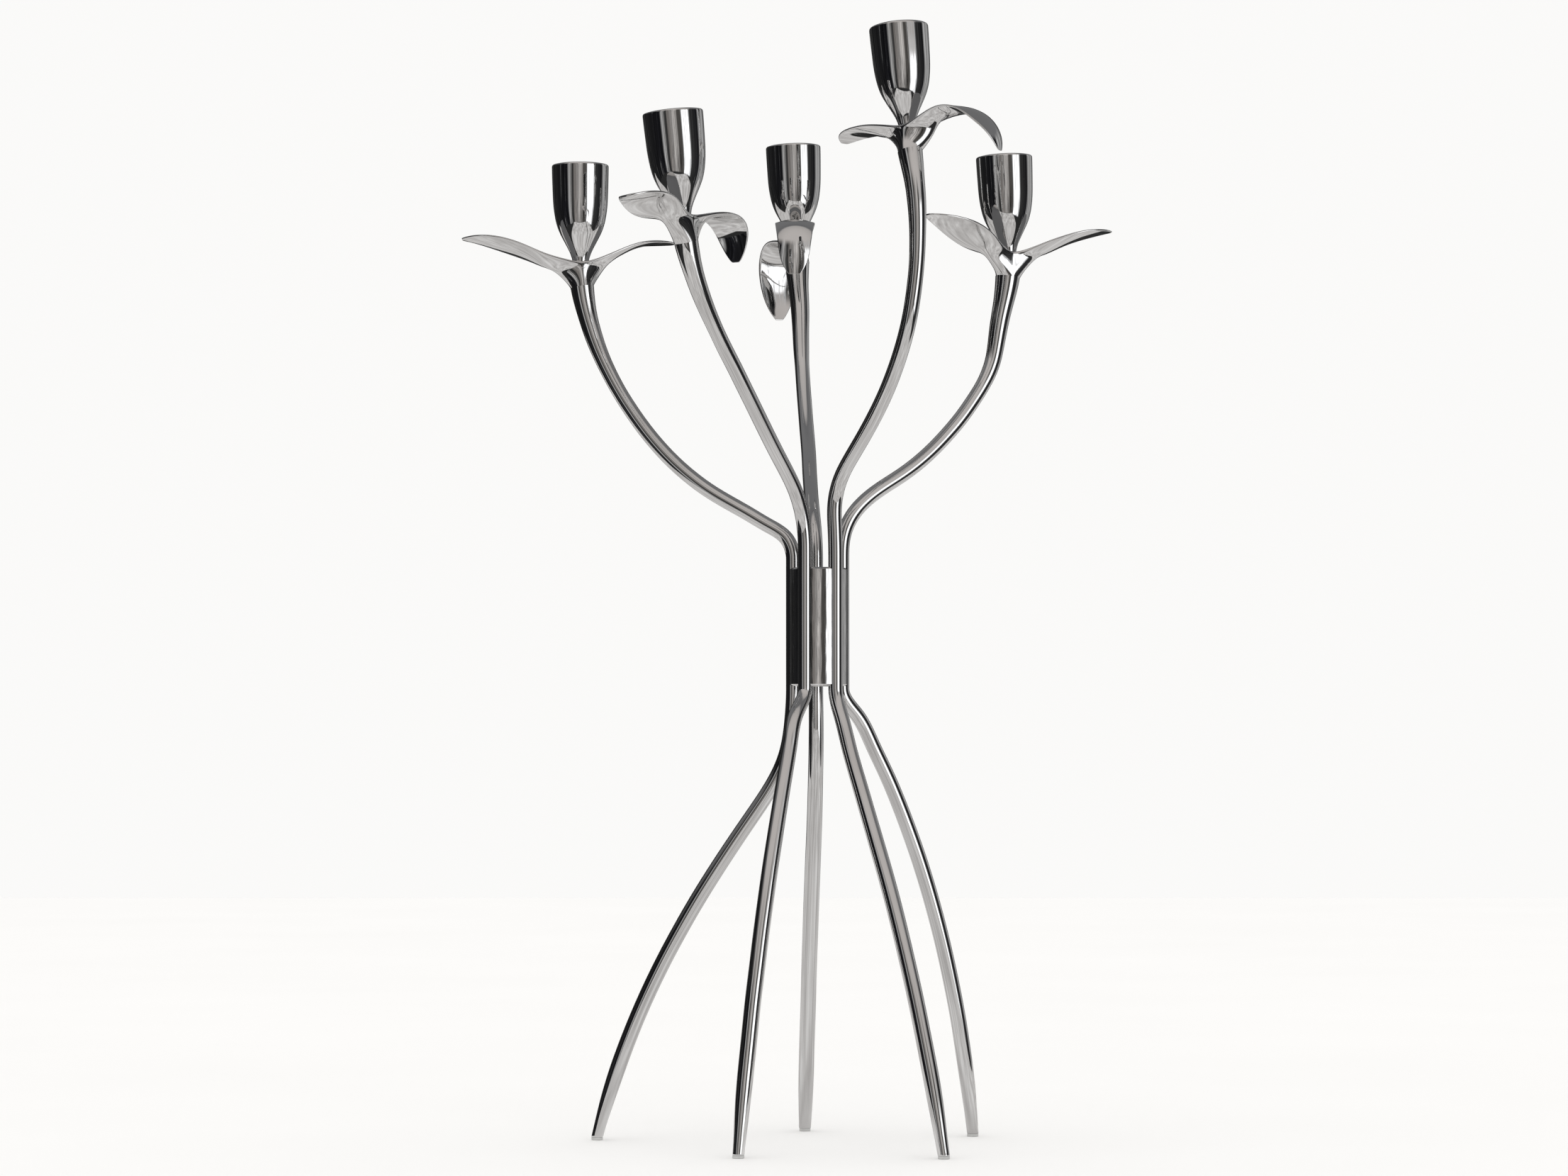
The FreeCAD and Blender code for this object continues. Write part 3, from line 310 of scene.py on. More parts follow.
class Stem:
    def __init__(self, name, data):
        self.name = name
        up = np.array(data["arm"], float) + SHIFT
        down = np.array(data["leg"], float) + SHIFT
        a = math.radians(data["angle"])
        out = np.array([math.cos(a), math.sin(a), 0.0])
        top = out * RING + SHIFT + [0, 0, BASE + HEIGHT + 5.0]
        low = out * RING + SHIFT + [0, 0, BASE - 1.0]
        self.arm = Smooth(np.vstack([[top], up]), (0, 0, 1))
        self.leg = Smooth(np.vstack([[low], down]), (0, 0, -1))
        tx, ty = data["tilt"]
        self.z = np.array([tx, ty, math.sqrt(1 - tx * tx - ty * ty)])
        self.seam = up[-1]
        sw = data["swell"]
        self.swell = sw
        total = self.arm.length
        end = total - DROP
        s = [0, 4, 9] + [9 + (end - 66 - 9) * k / 8.0 for k in range(1, 9)] + [end - d for d, w in SWELL]
        r = [ROD, ROD, ROD * 1.005] + [ROD + (ARM - ROD) * min(1.0, 0.35 + 0.2 * k) for k in range(8)] + [w * sw for d, w in SWELL]
        self.arm_s, self.arm_r = np.array(s), np.array(r)
        total = self.leg.length
        s = [0, 4, 9] + [9 + (total - 52 - 9) * k / 10.0 for k in range(1, 11)] + [total - 38, total - 26, total - 16, total]
        r = [ROD, ROD, ROD * 1.008] + [ROD + (LEG - ROD) * min(1.0, 0.3 + 0.2 * k) for k in range(10)]
        r += [LEG * 0.96, LEG * 0.87, FOOT * 1.08, FOOT * 0.97]
        self.leg_s, self.leg_r = np.array(s), np.array(r)
        # one line from the foot to the shoulder
        step = 1.1
        sl = np.arange(0, self.leg.length, step)[::-1]
        pl, tl = self.leg.along(sl)
        rl = fair(sl, self.leg_s, self.leg_r)
        zb = np.arange(step, HEIGHT + 6.0, step)
        pb = low + np.outer(zb, [0, 0, 1])
        sa = np.concatenate([np.arange(0, end, step), [end]])
        if sa[-1] - sa[-2] < 0.4 * step:
            sa = np.delete(sa, -2)
        pa, ta = self.arm.along(sa)
        ra = fair(sa, self.arm_s, self.arm_r)
        if np.linalg.norm(pb[-1] - pa[0]) < 0.4 * step:
            pb = pb[:-1]
        self.line = np.vstack([pl, pb, pa])
        self.tan = np.vstack([-tl, np.tile([0, 0, 1.0], (len(pb), 1)), ta])
        self.rad = np.concatenate([rl, np.full(len(pb), ROD), ra])
        n0 = len(pl) + len(pb)
        r = blur(self.rad, 10)
        r[n0 - 20:n0] = self.rad[n0 - 20:n0]
        r[-3:] = self.rad[-3:]
        self.rad = r
        # frames carried without twist, starting from the collar outwards
        mid = len(pl) + len(pb) // 2
        xs = np.zeros_like(self.line)
        xs[mid] = out
        for rng in (range(mid + 1, len(xs)), range(mid - 1, -1, -1)):
            for i in rng:
                prev = i - 1 if i > mid else i + 1
                v = xs[prev] - self.tan[i] * (xs[prev] @ self.tan[i])
                xs[i] = v / np.linalg.norm(v)
        self.xs = xs
        self.ys = np.cross(self.tan, xs)

    def shoulder_ring(self, angles, back=0.0, factor=1.0):
        """Points round the arm, a distance below the cup seam, at world directions (radians)."""
        s = self.arm.length - back
        p, t = self.arm.along(np.array([s]))
        p, t = p[0], t[0]
        r = fair(np.array([s]), self.arm_s, self.arm_r)[0] if s <= self.arm_s[-1] else self.boss_radius(back)
        out = []
        for a in angles:
            d = np.array([math.cos(a), math.sin(a), 0.0])
            d = unit(d - t * (d @ t))
            out.append(p + d * r * factor)
        return np.array(out)

    def boss_radius(self, back):
        return float(np.interp(-back, [-DROP, -DROP * 0.7, -DROP * 0.4, -DROP * 0.12, 0], [SHOULDER * self.swell, SHOULDER * 0.99, SHOULDER * 0.99, CALYX, CALYX * 0.93]))

    def build(self, material):
        seg = 40
        a = np.linspace(0, 2 * np.pi, seg, endpoint=False)
        ca, sa = np.cos(a), np.sin(a)
        rings = self.line[:, None, :] + self.rad[:, None, None] * (ca[None, :, None] * self.xs[:, None, :] + sa[None, :, None] * self.ys[:, None, :])
        # the foot is cut level on top of its pad
        k0 = int(np.argmax(self.line[:, 2] > PAD + 9.0))
        low = rings[:k0 + 1]
        cut = np.zeros((10, seg, 3))
        for j in range(seg):
            col = low[:, j, :]
            z = col[:, 2]
            i = int(np.argmax(z > PAD))
            w = (PAD - z[i - 1]) / (z[i] - z[i - 1])
            start = i - 1 + w
            idx = np.linspace(start, k0, 11)[:-1]
            f = np.floor(idx).astype(int)
            g = (idx - f)[:, None]
            cut[:, j, :] = col[f] * (1 - g) + col[np.minimum(f + 1, k0)] * g
        cut[0, :, 2] = PAD
        centre = cut[0].mean(axis=0)
        bevel = centre + (cut[0] - centre) * 0.91
        cut[0, :, 2] = PAD + 0.28
        mid = centre + (cut[0] - centre) * 0.97
        mid[:, 2] = PAD + 0.08
        rows = np.concatenate([bevel[None], mid[None], cut, rings[k0:]])
        n = len(rows)
        verts = rows.reshape(-1, 3)
        faces = grid_faces(n, seg)
        faces.append(tuple(range(seg))[::-1])
        # hidden top: closed a little inside the shoulder
        faces.append(tuple(range((n - 1) * seg, n * seg)))
        return mesh_object("rod_" + self.name, verts, faces, [material], "stand", ["stem_" + self.name], sharp=50)


# ---------------------------------------------------------------- leaves
U = np.array([-1.0, -0.9, -0.62, -0.3, 0.0, 0.3, 0.62, 0.9, 1.0])


class Leaf:
    def __init__(self, stem, direction, lift, rows):
        self.dir = math.radians(direction)
        out = np.array([math.cos(self.dir), math.sin(self.dir), 0.0])
        self.side0 = np.array([-math.sin(self.dir), math.cos(self.dir), 0.0])
        roll0 = rows[0][4]
        full = [(d, h + lift * k * k / 9.0, w, g, roll0 * k / 4.0, t) for k, (d, h, w, g, r, t) in enumerate(SHEATH)]
        n = len(rows)
        for k, (d, h, w, g, r) in enumerate(rows):
            full.append((d, h, w, g, r, 1.0 if k < n - 3 else (0.85, 0.7, 0.5)[k - (n - 3)]))
        ks = np.linspace(stem.arm.length - 24.0, stem.arm.length, 121)
        pts, _ = stem.arm.along(ks)
        mids = []
        for k, (d, h, w, g, r, t) in enumerate(full):
            base = stem.seam
            if k < len(SHEATH):
                i = int(np.argmin(np.abs(pts[:, 2] - stem.seam[2] - h)))
                base = np.array([pts[i, 0], pts[i, 1], stem.seam[2]])
            mids.append(base + out * d + [0, 0, h])
        self.curve = Smooth(mids)
        self.knots = self.curve.t
        self.full = np.array(full)
        self.last = len(full) - 1

    def frame(self, q):
        q = np.atleast_1d(np.asarray(q, float))
        u = np.interp(q, np.arange(self.last + 1), self.knots)
        p, t = self.curve.at(u), self.curve.slope(u)
        w = fair(u, self.knots, self.full[:, 2])
        g = fair(u, self.knots, self.full[:, 3])
        r = fair(u, self.knots, self.full[:, 4])
        th = fair(u, self.knots, self.full[:, 5])
        n = np.cross(t, self.side0)
        n = n / np.linalg.norm(n, axis=1, keepdims=True)
        side = np.tile(self.side0, (len(q), 1))
        c, s = np.cos(np.radians(r))[:, None], np.sin(np.radians(r))[:, None]
        side2 = side * c + np.cross(t, side) * s + t * np.sum(t * side, axis=1, keepdims=True) * (1 - c)
        n2 = n * c + np.cross(t, n) * s
        return p, t, side2, n2, w, g, th

    def point(self, q, u, face, grow=0.0):
        """face +1: upper side, -1: under side, 0: middle. One q, one u."""
        p, t, side, n, w, g, th = self.frame(q)
        p, side, n, w, g, th = p[0], side[0], n[0], w[0] + 2 * grow, g[0], th[0]
        a = math.radians(g)
        if abs(a) < 0.01:
            a = 0.01
        rho = w / (2 * a)
        m = n * math.cos(u * a) - side * math.sin(u * a)
        h = THICK * th * 0.5 * (1 - 0.45 * u * u)
        return p + side * (rho * math.sin(u * a)) + n * (rho * (1 - math.cos(u * a))) + m * (h * face)


def hermite(a, b, ta, tb, w):
    return a * (1 + 2 * w) * (1 - w) ** 2 + ta * w * (1 - w) ** 2 + b * w * w * (3 - 2 * w) - tb * w * w * (1 - w)


class Cage:
    def __init__(self):
        self.v, self.fix, self.soft, self.f, self.crease = [], [], [], [], {}

    def add(self, p, fixed=True, soft=1.0):
        self.v.append(np.array(p, float))
        self.fix.append(fixed)
        self.soft.append(soft)
        return len(self.v) - 1

    def quad(self, a, b, c, d):
        self.f.append((a, b, c, d))


def relax(verts, faces, fixed, soft):
    """Fair surface: least bending with some points held and the others drawn to where they were."""
    n = len(verts)
    near = [set() for _ in range(n)]
    for f in faces:
        for i in range(len(f)):
            a, b = f[i], f[(i + 1) % len(f)]
            near[a].add(b)
            near[b].add(a)
    used = [i for i in range(n) if near[i]]
    lap = np.zeros((len(used), n))
    for k, i in enumerate(used):
        lap[k, i] = 1.0
        for j in near[i]:
            lap[k, j] -= 1.0 / len(near[i])
    verts = np.array(verts, float)
    free = np.array([i for i in range(n) if not fixed[i]])
    held = np.array([i for i in range(n) if fixed[i]])
    w = np.sqrt(np.array([soft[i] for i in free]))
    top = lap[:, free]
    rhs = -lap[:, held] @ verts[held]
    a = np.vstack([top, np.diag(w)])
    b = np.vstack([rhs, w[:, None] * verts[free]])
    verts[free] = np.linalg.lstsq(a, b, rcond=None)[0]
    return verts


def leaf_pair(stem, material):
    name = stem.name
    A, B = [Leaf(stem, *row) for row in LEAVES[name]]
    S, z = stem.seam, stem.z
    # split directions, half way between the two leaves; A's columns run from split 2 over A to split 1
    a, b = A.dir, B.dir
    b_up = b if b > a else b + 2 * math.pi
    split1 = (a + b_up) / 2
    split2 = split1 - math.pi
    halves = []
    ring_scale = 1.0 / 0.9747
    # which edge of each leaf looks to which split: u = +1 is counter-clockwise from the leaf's direction
    for leaf, lo, hi in ((A, split2, split1), (B, split1, split2 + 2 * math.pi)):
        d = leaf.dir
        while d < lo:
            d += 2 * math.pi
        while d > hi:
            d -= 2 * math.pi
        angles = []
        for u in U:
            k = math.copysign(abs(u) ** 1.0, u)
            angles.append(d + (hi - d) * k if k >= 0 else d + (d - lo) * k)
        halves.append((leaf, angles))

    ring_n = 16

    def ring(values, back, factor=1.0):
        return stem.shoulder_ring(values, back, factor * ring_scale)

    cage = Cage()

    def axis_at(back):
        p, t = stem.arm.along(np.array([stem.arm.length - back]))
        return p[0], t[0]

    def oval(leaf, j, u, back, q, face=-1):
        """A point of the common root: from the midrib's underside round to the split."""
        mid = leaf.point(q, 0.0, face)
        c, t = axis_at(back)
        h = 0 if j < 8 else 1
        ang = halves[h][1][0] if u < 0 else halves[h][1][-1]
        d = np.array([math.cos(ang), math.sin(ang), 0.0])
        d = unit(d - t * (d @ t))
        edge = c + d * SHOULDER * 0.99 * ring_scale
        k = abs(u) * math.pi / 2
        cc, ss = math.cos(k) ** 0.85, math.sin(k) ** 0.9
        centre = c * 1.0
        centre[2] = mid[2] * cc ** 2 + c[2] * (1 - cc ** 2)
        flat_mid = mid - c
        flat_mid[2] = 0.0
        flat_edge = edge - c
        out = c + flat_mid * cc + flat_edge * ss
        out[2] = mid[2] * cc ** 1.6 + edge[2] * (1 - cc ** 1.6)
        return out

    # bottom rows. Row: distance of the split point below the seam, place of the midrib on the leaf, hold on the guess
    ghosts = [(20.0, None), (17.0, None)]
    rows = [(14.0, None), (10.6, 0.9), (7.4, 1.9), (4.4, 2.8), (1.9, 3.45)]
    rim_q = [3.9, 4.3, 4.65]
    blade_q = list(np.arange(5.0, A.last + 0.01, 1.0))
    col_angles = halves[0][1][:-1] + halves[1][1][:-1]

    def leaf_of(j):
        return (halves[0][0], U[j]) if j < 8 else (halves[1][0], U[j - 8])

    ring_rows = []
    for back, _ in ghosts:
        pts = ring(col_angles, back)
        ring_rows.append([cage.add(p) for p in pts])
    for k, (back, q) in enumerate(rows):
        pts = ring(col_angles, back)
        ids = []
        for j in range(ring_n):
            leaf, u = leaf_of(j)
            split = j in (0, 8)
            if q is None:
                ids.append(cage.add(pts[j]))
            elif split and k == len(rows) - 1:
                ids.append(cage.add(pts[j]))            # the crotch
            elif split:
                ids.append(cage.add(pts[j], False, 0.6))
            else:
                ids.append(cage.add(oval(leaf, j, u, back, q), False, 0.5))
        ring_rows.append(ids)
    n_ghost = len(ghosts)
    for i in range(len(ring_rows) - 1):
        for j in range(ring_n):
            k = (j + 1) % ring_n
            cage.quad(ring_rows[i][j], ring_rows[i][k], ring_rows[i + 1][k], ring_rows[i + 1][j])
    ghost_faces = len(cage.f[:n_ghost * ring_n])
    crotch = ring_rows[-1]
    # top of the calyx: bore, seat for the cup, then the upper side of the leaves
    x_ax = unit(np.cross([0, 1, 0], z))
    y_ax = np.cross(z, x_ax)

    def seat(angles, r, h):
        out = []
        for t in angles:
            d = np.array([math.cos(t), math.sin(t), 0.0])
            d = unit(d - z * (d @ z))
            out.append(S + d * r * ring_scale + z * h)
        return out

    bore_low = [cage.add(p) for p in seat(col_angles, 2.58, -11.0)]
    bore_top = [cage.add(p) for p in seat(col_angles, 2.58, 0.0)]
    flat_in = [cage.add(p) for p in seat(col_angles, 4.3, 0.0)]
    flat_out = [cage.add(p) for p in seat(col_angles, 5.0, -0.02)]
    upper = []
    crotch_top = []
    pts = seat(col_angles, 6.25, -0.42)
    for j in range(ring_n):
        leaf, u = leaf_of(j)
        if j in (0, 8):
            crotch_top.append(cage.add(pts[j]))
        else:
            w = 1 - abs(u) ** 2.2
            g = pts[j] * (1 - 0.85 * w) + leaf.point(3.45, u * 0.8, 1) * 0.85 * w
            crotch_top.append(cage.add(g + z * 1.2 * w, False, 0.12 * w + 0.01))
    for lo, hi in ((bore_low, bore_top), (bore_top, flat_in), (flat_in, flat_out)):
        for j in range(ring_n):
            k = (j + 1) % ring_n
            cage.quad(lo[j], lo[k], hi[k], hi[j])
    # a ring between seat and crotch row
    mid_ring = []
    for j in range(ring_n):
        p, r = cage.v[flat_out[j]], cage.v[crotch_top[j]]
        w = 0.55 if j in (0, 8) else 0.4
        mid_ring.append(cage.add(p * (1 - w) + r * w, False, 0.3 if j in (0, 8) else 0.02))
    for lo, hi in ((flat_out, mid_ring), (mid_ring, crotch_top)):
        for j in range(ring_n):
            k = (j + 1) % ring_n
            cage.quad(lo[j], lo[k], hi[k], hi[j])
    # blades
    for h, (leaf, angles) in enumerate(halves):
        start = 0 if h == 0 else 8
        cols = [(start + j) % ring_n for j in range(9)]
        under = [[crotch[c] for c in cols]]
        over = [[crotch_top[c] for c in cols]]
        e5 = {}
        for s in (-1, 1):
            for face in (-1, 1):
                p = leaf.point(5.0, s, face, 0.45)
                t = (leaf.point(5.25, s, face, 0.45) - leaf.point(5.0, s, face, 0.45)) / 0.25
                e5[(s, face)] = (p, t)
        nr = len(rim_q)
        for k, q in enumerate(rim_q):
            tau = (k + 1) / (nr + 1.0)
            for face, store, base in ((-1, under, crotch), (1, over, crotch_top)):
                ids = []
                for j, u in enumerate(U):
                    if abs(u) == 1.0:
                        s = int(u)
                        c = cage.v[base[cols[0 if s < 0 else 8]]]
                        p, t = e5[(s, face)]
                        ang = angles[0] if s < 0 else angles[-1]
                        flow = np.array([-math.sin(ang), math.cos(ang), 0.0]) * (-s)
                        gap = np.linalg.norm(p - c)
                        ids.append(cage.add(hermite(c, p, flow * gap * 0.8 + z * gap * 0.12, unit(t) * gap * 0.9, tau)))
                    else:
                        qe = q - 0.25 * abs(u) ** 2 * (1 - tau)
                        g = leaf.point(qe, u, face, 0.45 * abs(u))
                        ids.append(cage.add(g, False, 0.12 if abs(u) < 0.7 else 0.02))
                store.append(ids)
        for q in blade_q:
            tip = q > leaf.last - 0.5
            for face, store in ((-1, under), (1, over)):
                ids = []
                for j, u in enumerate(U):
                    ids.append(cage.add(leaf.point(min(q, leaf.last), u, face, 0.45 if q < leaf.last - 0.5 else 0.0)))
                store.append(ids)
        q_last = blade_q[-1]
        if leaf.last > q_last + 0.2:
            for q in np.arange(q_last + 1, leaf.last + 0.01, 1.0):
                for face, store in ((-1, under), (1, over)):
                    store.append([cage.add(leaf.point(q, u, face, 0.45)) for u in U])
        # rounded tip
        p, t, side, n, w, g, th = leaf.frame(leaf.last)
        for reach, wide in ((-0.1, 0.62),):
            for face, store in ((-1, under), (1, over)):
                store.append([cage.add(p[0] + t[0] * reach + side[0] * (u * w[0] * 0.5 * wide) + n[0] * (THICK * th[0] * 0.5 * face * 0.7)) for u in U])
        for i in range(len(under) - 1):
            for j in range(8):
                cage.quad(under[i][j], under[i][j + 1], under[i + 1][j + 1], under[i + 1][j])
                cage.quad(over[i][j + 1], over[i][j], over[i + 1][j], over[i + 1][j + 1])
            # edges
            cage.quad(under[i][8], over[i][8], over[i + 1][8], under[i + 1][8])
            cage.quad(over[i][0], under[i][0], under[i + 1][0], over[i + 1][0])
        for j in range(8):
            cage.quad(under[-1][j], under[-1][j + 1], over[-1][j + 1], over[-1][j])
    verts = relax(cage.v, cage.f, cage.fix, cage.soft)
    # drop the ghost rows, close the hidden bottom and the bore
    faces = cage.f[ghost_faces:]
    first = ring_rows[n_ghost]
    faces.append(tuple(first[::-1]))
    faces.append(tuple(bore_low))
    used = sorted({i for f in faces for i in f})
    remap = {o: k for k, o in enumerate(used)}
    faces = [tuple(remap[i] for i in f) for f in faces]
    verts = verts[used]
    me = bpy.data.meshes.new("cage")
    me.from_pydata([tuple(v * 0.001) for v in verts], [], faces)
    me.validate()
    bm = bmesh.new()
    bm.from_mesh(me)
    bmesh.ops.recalc_face_normals(bm, faces=bm.faces)
    crease = bm.edges.layers.float.get("crease_edge") or bm.edges.layers.float.new("crease_edge")
    for ids, value in ((first, 1.0), (bore_low, 1.0), (bore_top, 0.8)):
        loop = {remap[i] for i in ids}
        for e in bm.edges:
            if e.verts[0].index in loop and e.verts[1].index in loop:
                e[crease] = value
    bm.to_mesh(me)
    bm.free()
    tmp = bpy.data.objects.new("cage", me)
    bpy.context.scene.collection.objects.link(tmp)
    sub = tmp.modifiers.new("sub", "SUBSURF")
    sub.levels = sub.render_levels = 3
    sub.subdivision_type = "CATMULL_CLARK"
    dg = bpy.context.evaluated_depsgraph_get()
    done = bpy.data.meshes.new_from_object(tmp.evaluated_get(dg))
    bpy.data.objects.remove(tmp)
    bpy.data.meshes.remove(me)
    v = np.zeros(len(done.vertices) * 3)
    done.vertices.foreach_get("co", v)
    v = v.reshape(-1, 3) * 1000
    f = [tuple(p.vertices) for p in done.polygons]
    bpy.data.meshes.remove(done)
    return mesh_object("leaves_" + name, v, f, [material], "stand", ["leaf_pair_" + name], sharp=60)


# ---------------------------------------------------------------- cups, studs, pads, collar
def rounded(points, n):
    return [tuple(p) for p in Smooth(points, fine=400).along(np.linspace(0, Smooth(points, fine=400).length, n))[0]]


def candle_cup(stem, polished, bore):
    outer = [(4.5, 0.0), (5.3, 3.4), (7.5, 8.4), (9.6, 12.4), (11.6, 16.4), (13.3, 21.0), (14.4, 26.0), (15.15, 32.0), (15.55, 40.0), (15.8, 48.0), (15.9, 53.3)]
    h = 54.5
    prof = [(2.95, 0.0), (4.25, 0.0), (4.42, 0.05)]
    prof += rounded([(4.5, 0.12)] + outer[1:], 90)
    n_out = len(prof) - 1
    lip = [(15.9, 53.3), (15.86, 53.75), (15.72, 54.15), (15.5, 54.37), (15.2, 54.46), (14.95, 54.45), (14.7, 54.38), (14.45, 54.2), (14.3, 53.95)]
    prof += lip[1:]
    prof += [(14.3 - 2.9 * k / 8.0, 53.95 - 5.45 * k / 8.0) for k in range(1, 9)]
    prof += [(11.4, 48.3 - 23.6 * k / 12.0) for k in range(13)]
    floor = h - 30.0
    prof += [(11.2, floor + 0.02), (10.6, floor - 0.35), (8.9, floor - 1.6), (5.0, floor - 1.95), (0.0, floor - 2.2)]
    n_in = len(prof) - 1
    verts, faces, owner = lathe(prof, 112, stem.seam, stem.z)
    # the stud's hole underneath
    prof2 = [(0.0, 9.8), (2.55, 9.0), (2.55, 0.6), (2.95, 0.0)]
    v2, f2, o2 = lathe(prof2, 112, stem.seam, stem.z)
    last = len(v2) - 112
    base = len(verts)
    merge = {base + last + j: j for j in range(112)}
    verts = verts + v2[:last]
    faces += [tuple(merge.get(i + base, i + base) for i in f) for f in f2]
    idx = [0 if o < n_out + 12 else 1 for o in owner] + [1] * len(f2)
    return mesh_object("cup_" + stem.name, verts, faces, [polished, bore], "cup_" + stem.name, ["candle_cup_" + stem.name], sharp=35, face_material=idx)


def stud(stem, steel):
    seg, pitch = 40, 0.8
    lo, hi = -16.0, 8.5
    zs = np.arange(lo, hi + 0.001, pitch / 6)
    a = np.linspace(0, 2 * np.pi, seg, endpoint=False)
    z = unit(stem.z)
    x = unit(np.cross([0, 1, 0], z))
    y = np.cross(z, x)
    verts = []
    for h in zs:
        ph = (h / pitch - a / (2 * np.pi)) % 1.0
        depth = np.clip(1.25 - np.abs(ph - 0.5) * 2.5, 0, 1)
        r = 2.49 - 0.44 * (1 - depth)
        cap = min(h - lo, hi - h)
        r = np.minimum(r, 1.95 + cap * 0.9)
        verts += list(stem.seam + z * h + np.outer(np.cos(a) * r, x) + np.outer(np.sin(a) * r, y))
    n = len(zs)
    faces = grid_faces(n, seg)
    faces.append(tuple(range(seg))[::-1])
    faces.append(tuple(range((n - 1) * seg, n * seg)))
    return mesh_object("thread_" + stem.name, verts, faces, [steel], "stud_" + stem.name, ["cup_stud_" + stem.name], sharp=60)


def foot_pad(stem, rubber):
    lo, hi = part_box("foot_pad_" + stem.name)
    c = np.array([(lo[0] + hi[0]) / 2, (lo[1] + hi[1]) / 2, 0]) * 1000
    prof = [(0.0, 0.0), (2.2, 0.0), (2.75, 0.0), (3.0, 0.04), (3.11, 0.15), (3.15, 0.35), (3.15, 1.25), (3.11, 1.45), (3.0, 1.56), (2.8, 1.6), (1.8, 1.6), (0.0, 1.6)]
    verts, faces, _ = lathe(prof, 64, c, (0, 0, 1))
    return mesh_object("pad_" + stem.name, verts, faces, [rubber], "stand", ["foot_pad_" + stem.name], sharp=60)


def collar(polished, bore):
    """Round collar with five grooves, bevelled ends and a through bore."""
    angles = [math.radians(STEMS["right"]["angle"] + 72 * k) for k in range(5)]
    gr, rr = 4.03, RING
    land_n, groove_n = 20, 26

    def outline(r):
        pts = []
        for k, a in enumerate(angles):
            nxt = a + math.radians(72)
            # where the round of radius r meets the groove circle
            c = (rr * rr + r * r - gr * gr) / (2 * rr * r)
            half = math.acos(max(-1, min(1, c)))
            # groove: from one lip round its inner side to the other
            p0 = np.array([r * math.cos(half), -r * math.sin(half)]) - [rr, 0]
            g0 = math.atan2(p0[1], p0[0]) % (2 * math.pi)
            g1 = 2 * math.pi - g0
            for i in range(groove_n + 1):
                t = g0 + (g1 - g0) * i / groove_n
                q = np.array([rr + gr * math.cos(t), gr * math.sin(t)])
                pts.append((q[0] * math.cos(a) - q[1] * math.sin(a), q[0] * math.sin(a) + q[1] * math.cos(a)))
            for i in range(1, land_n):
                t = a + half + (nxt - half - a - half) * i / land_n
                pts.append((r * math.cos(t), r * math.sin(t)))
        return np.array(pts)

    levels = [(14.8, 0.0), (15.05, 0.22), (15.8, 1.0), (15.8, 6.0)] + [(15.8, 6.0 + 53.0 * k / 12) for k in range(1, 13)] + [(15.8, HEIGHT - 1.0), (15.05, HEIGHT - 0.22), (14.8, HEIGHT)]
    rows = []
    for r, h in levels:
        o = outline(r)
        rows.append(np.column_stack([o, np.full(len(o), h + BASE)]) + SHIFT)
    n = len(rows[0])
    verts = [p for row in rows for p in row]
    faces = grid_faces(len(rows), n)
    # the bore, with the same number of points, and flat ends
    t = np.arctan2(rows[0][:, 1] - SHIFT[1], rows[0][:, 0] - SHIFT[0])
    base = len(verts)
    inner = []
    for h, r in ((0.0, 8.4), (0.4, 8.0), (HEIGHT / 2, 8.0), (HEIGHT - 0.4, 8.0), (HEIGHT, 8.4)):
        inner.append(len(verts))
        verts += [SHIFT + [r * math.cos(a), r * math.sin(a), BASE + h] for a in t]
    faces += grid_faces(5, n, base, flip=True)
    idx = [0] * ((len(rows) - 1) * n) + [1] * (4 * n)
    for j in range(n):
        k = (j + 1) % n
        faces.append((j, base + j, base + k, k))
        faces.append(((len(rows) - 1) * n + k, base + 4 * n + k, base + 4 * n + j, (len(rows) - 1) * n + j))
        idx += [0, 0]
    return mesh_object("collar", verts, faces, [polished, bore], "stand", ["hub_sleeve"], sharp=30, face_material=idx)


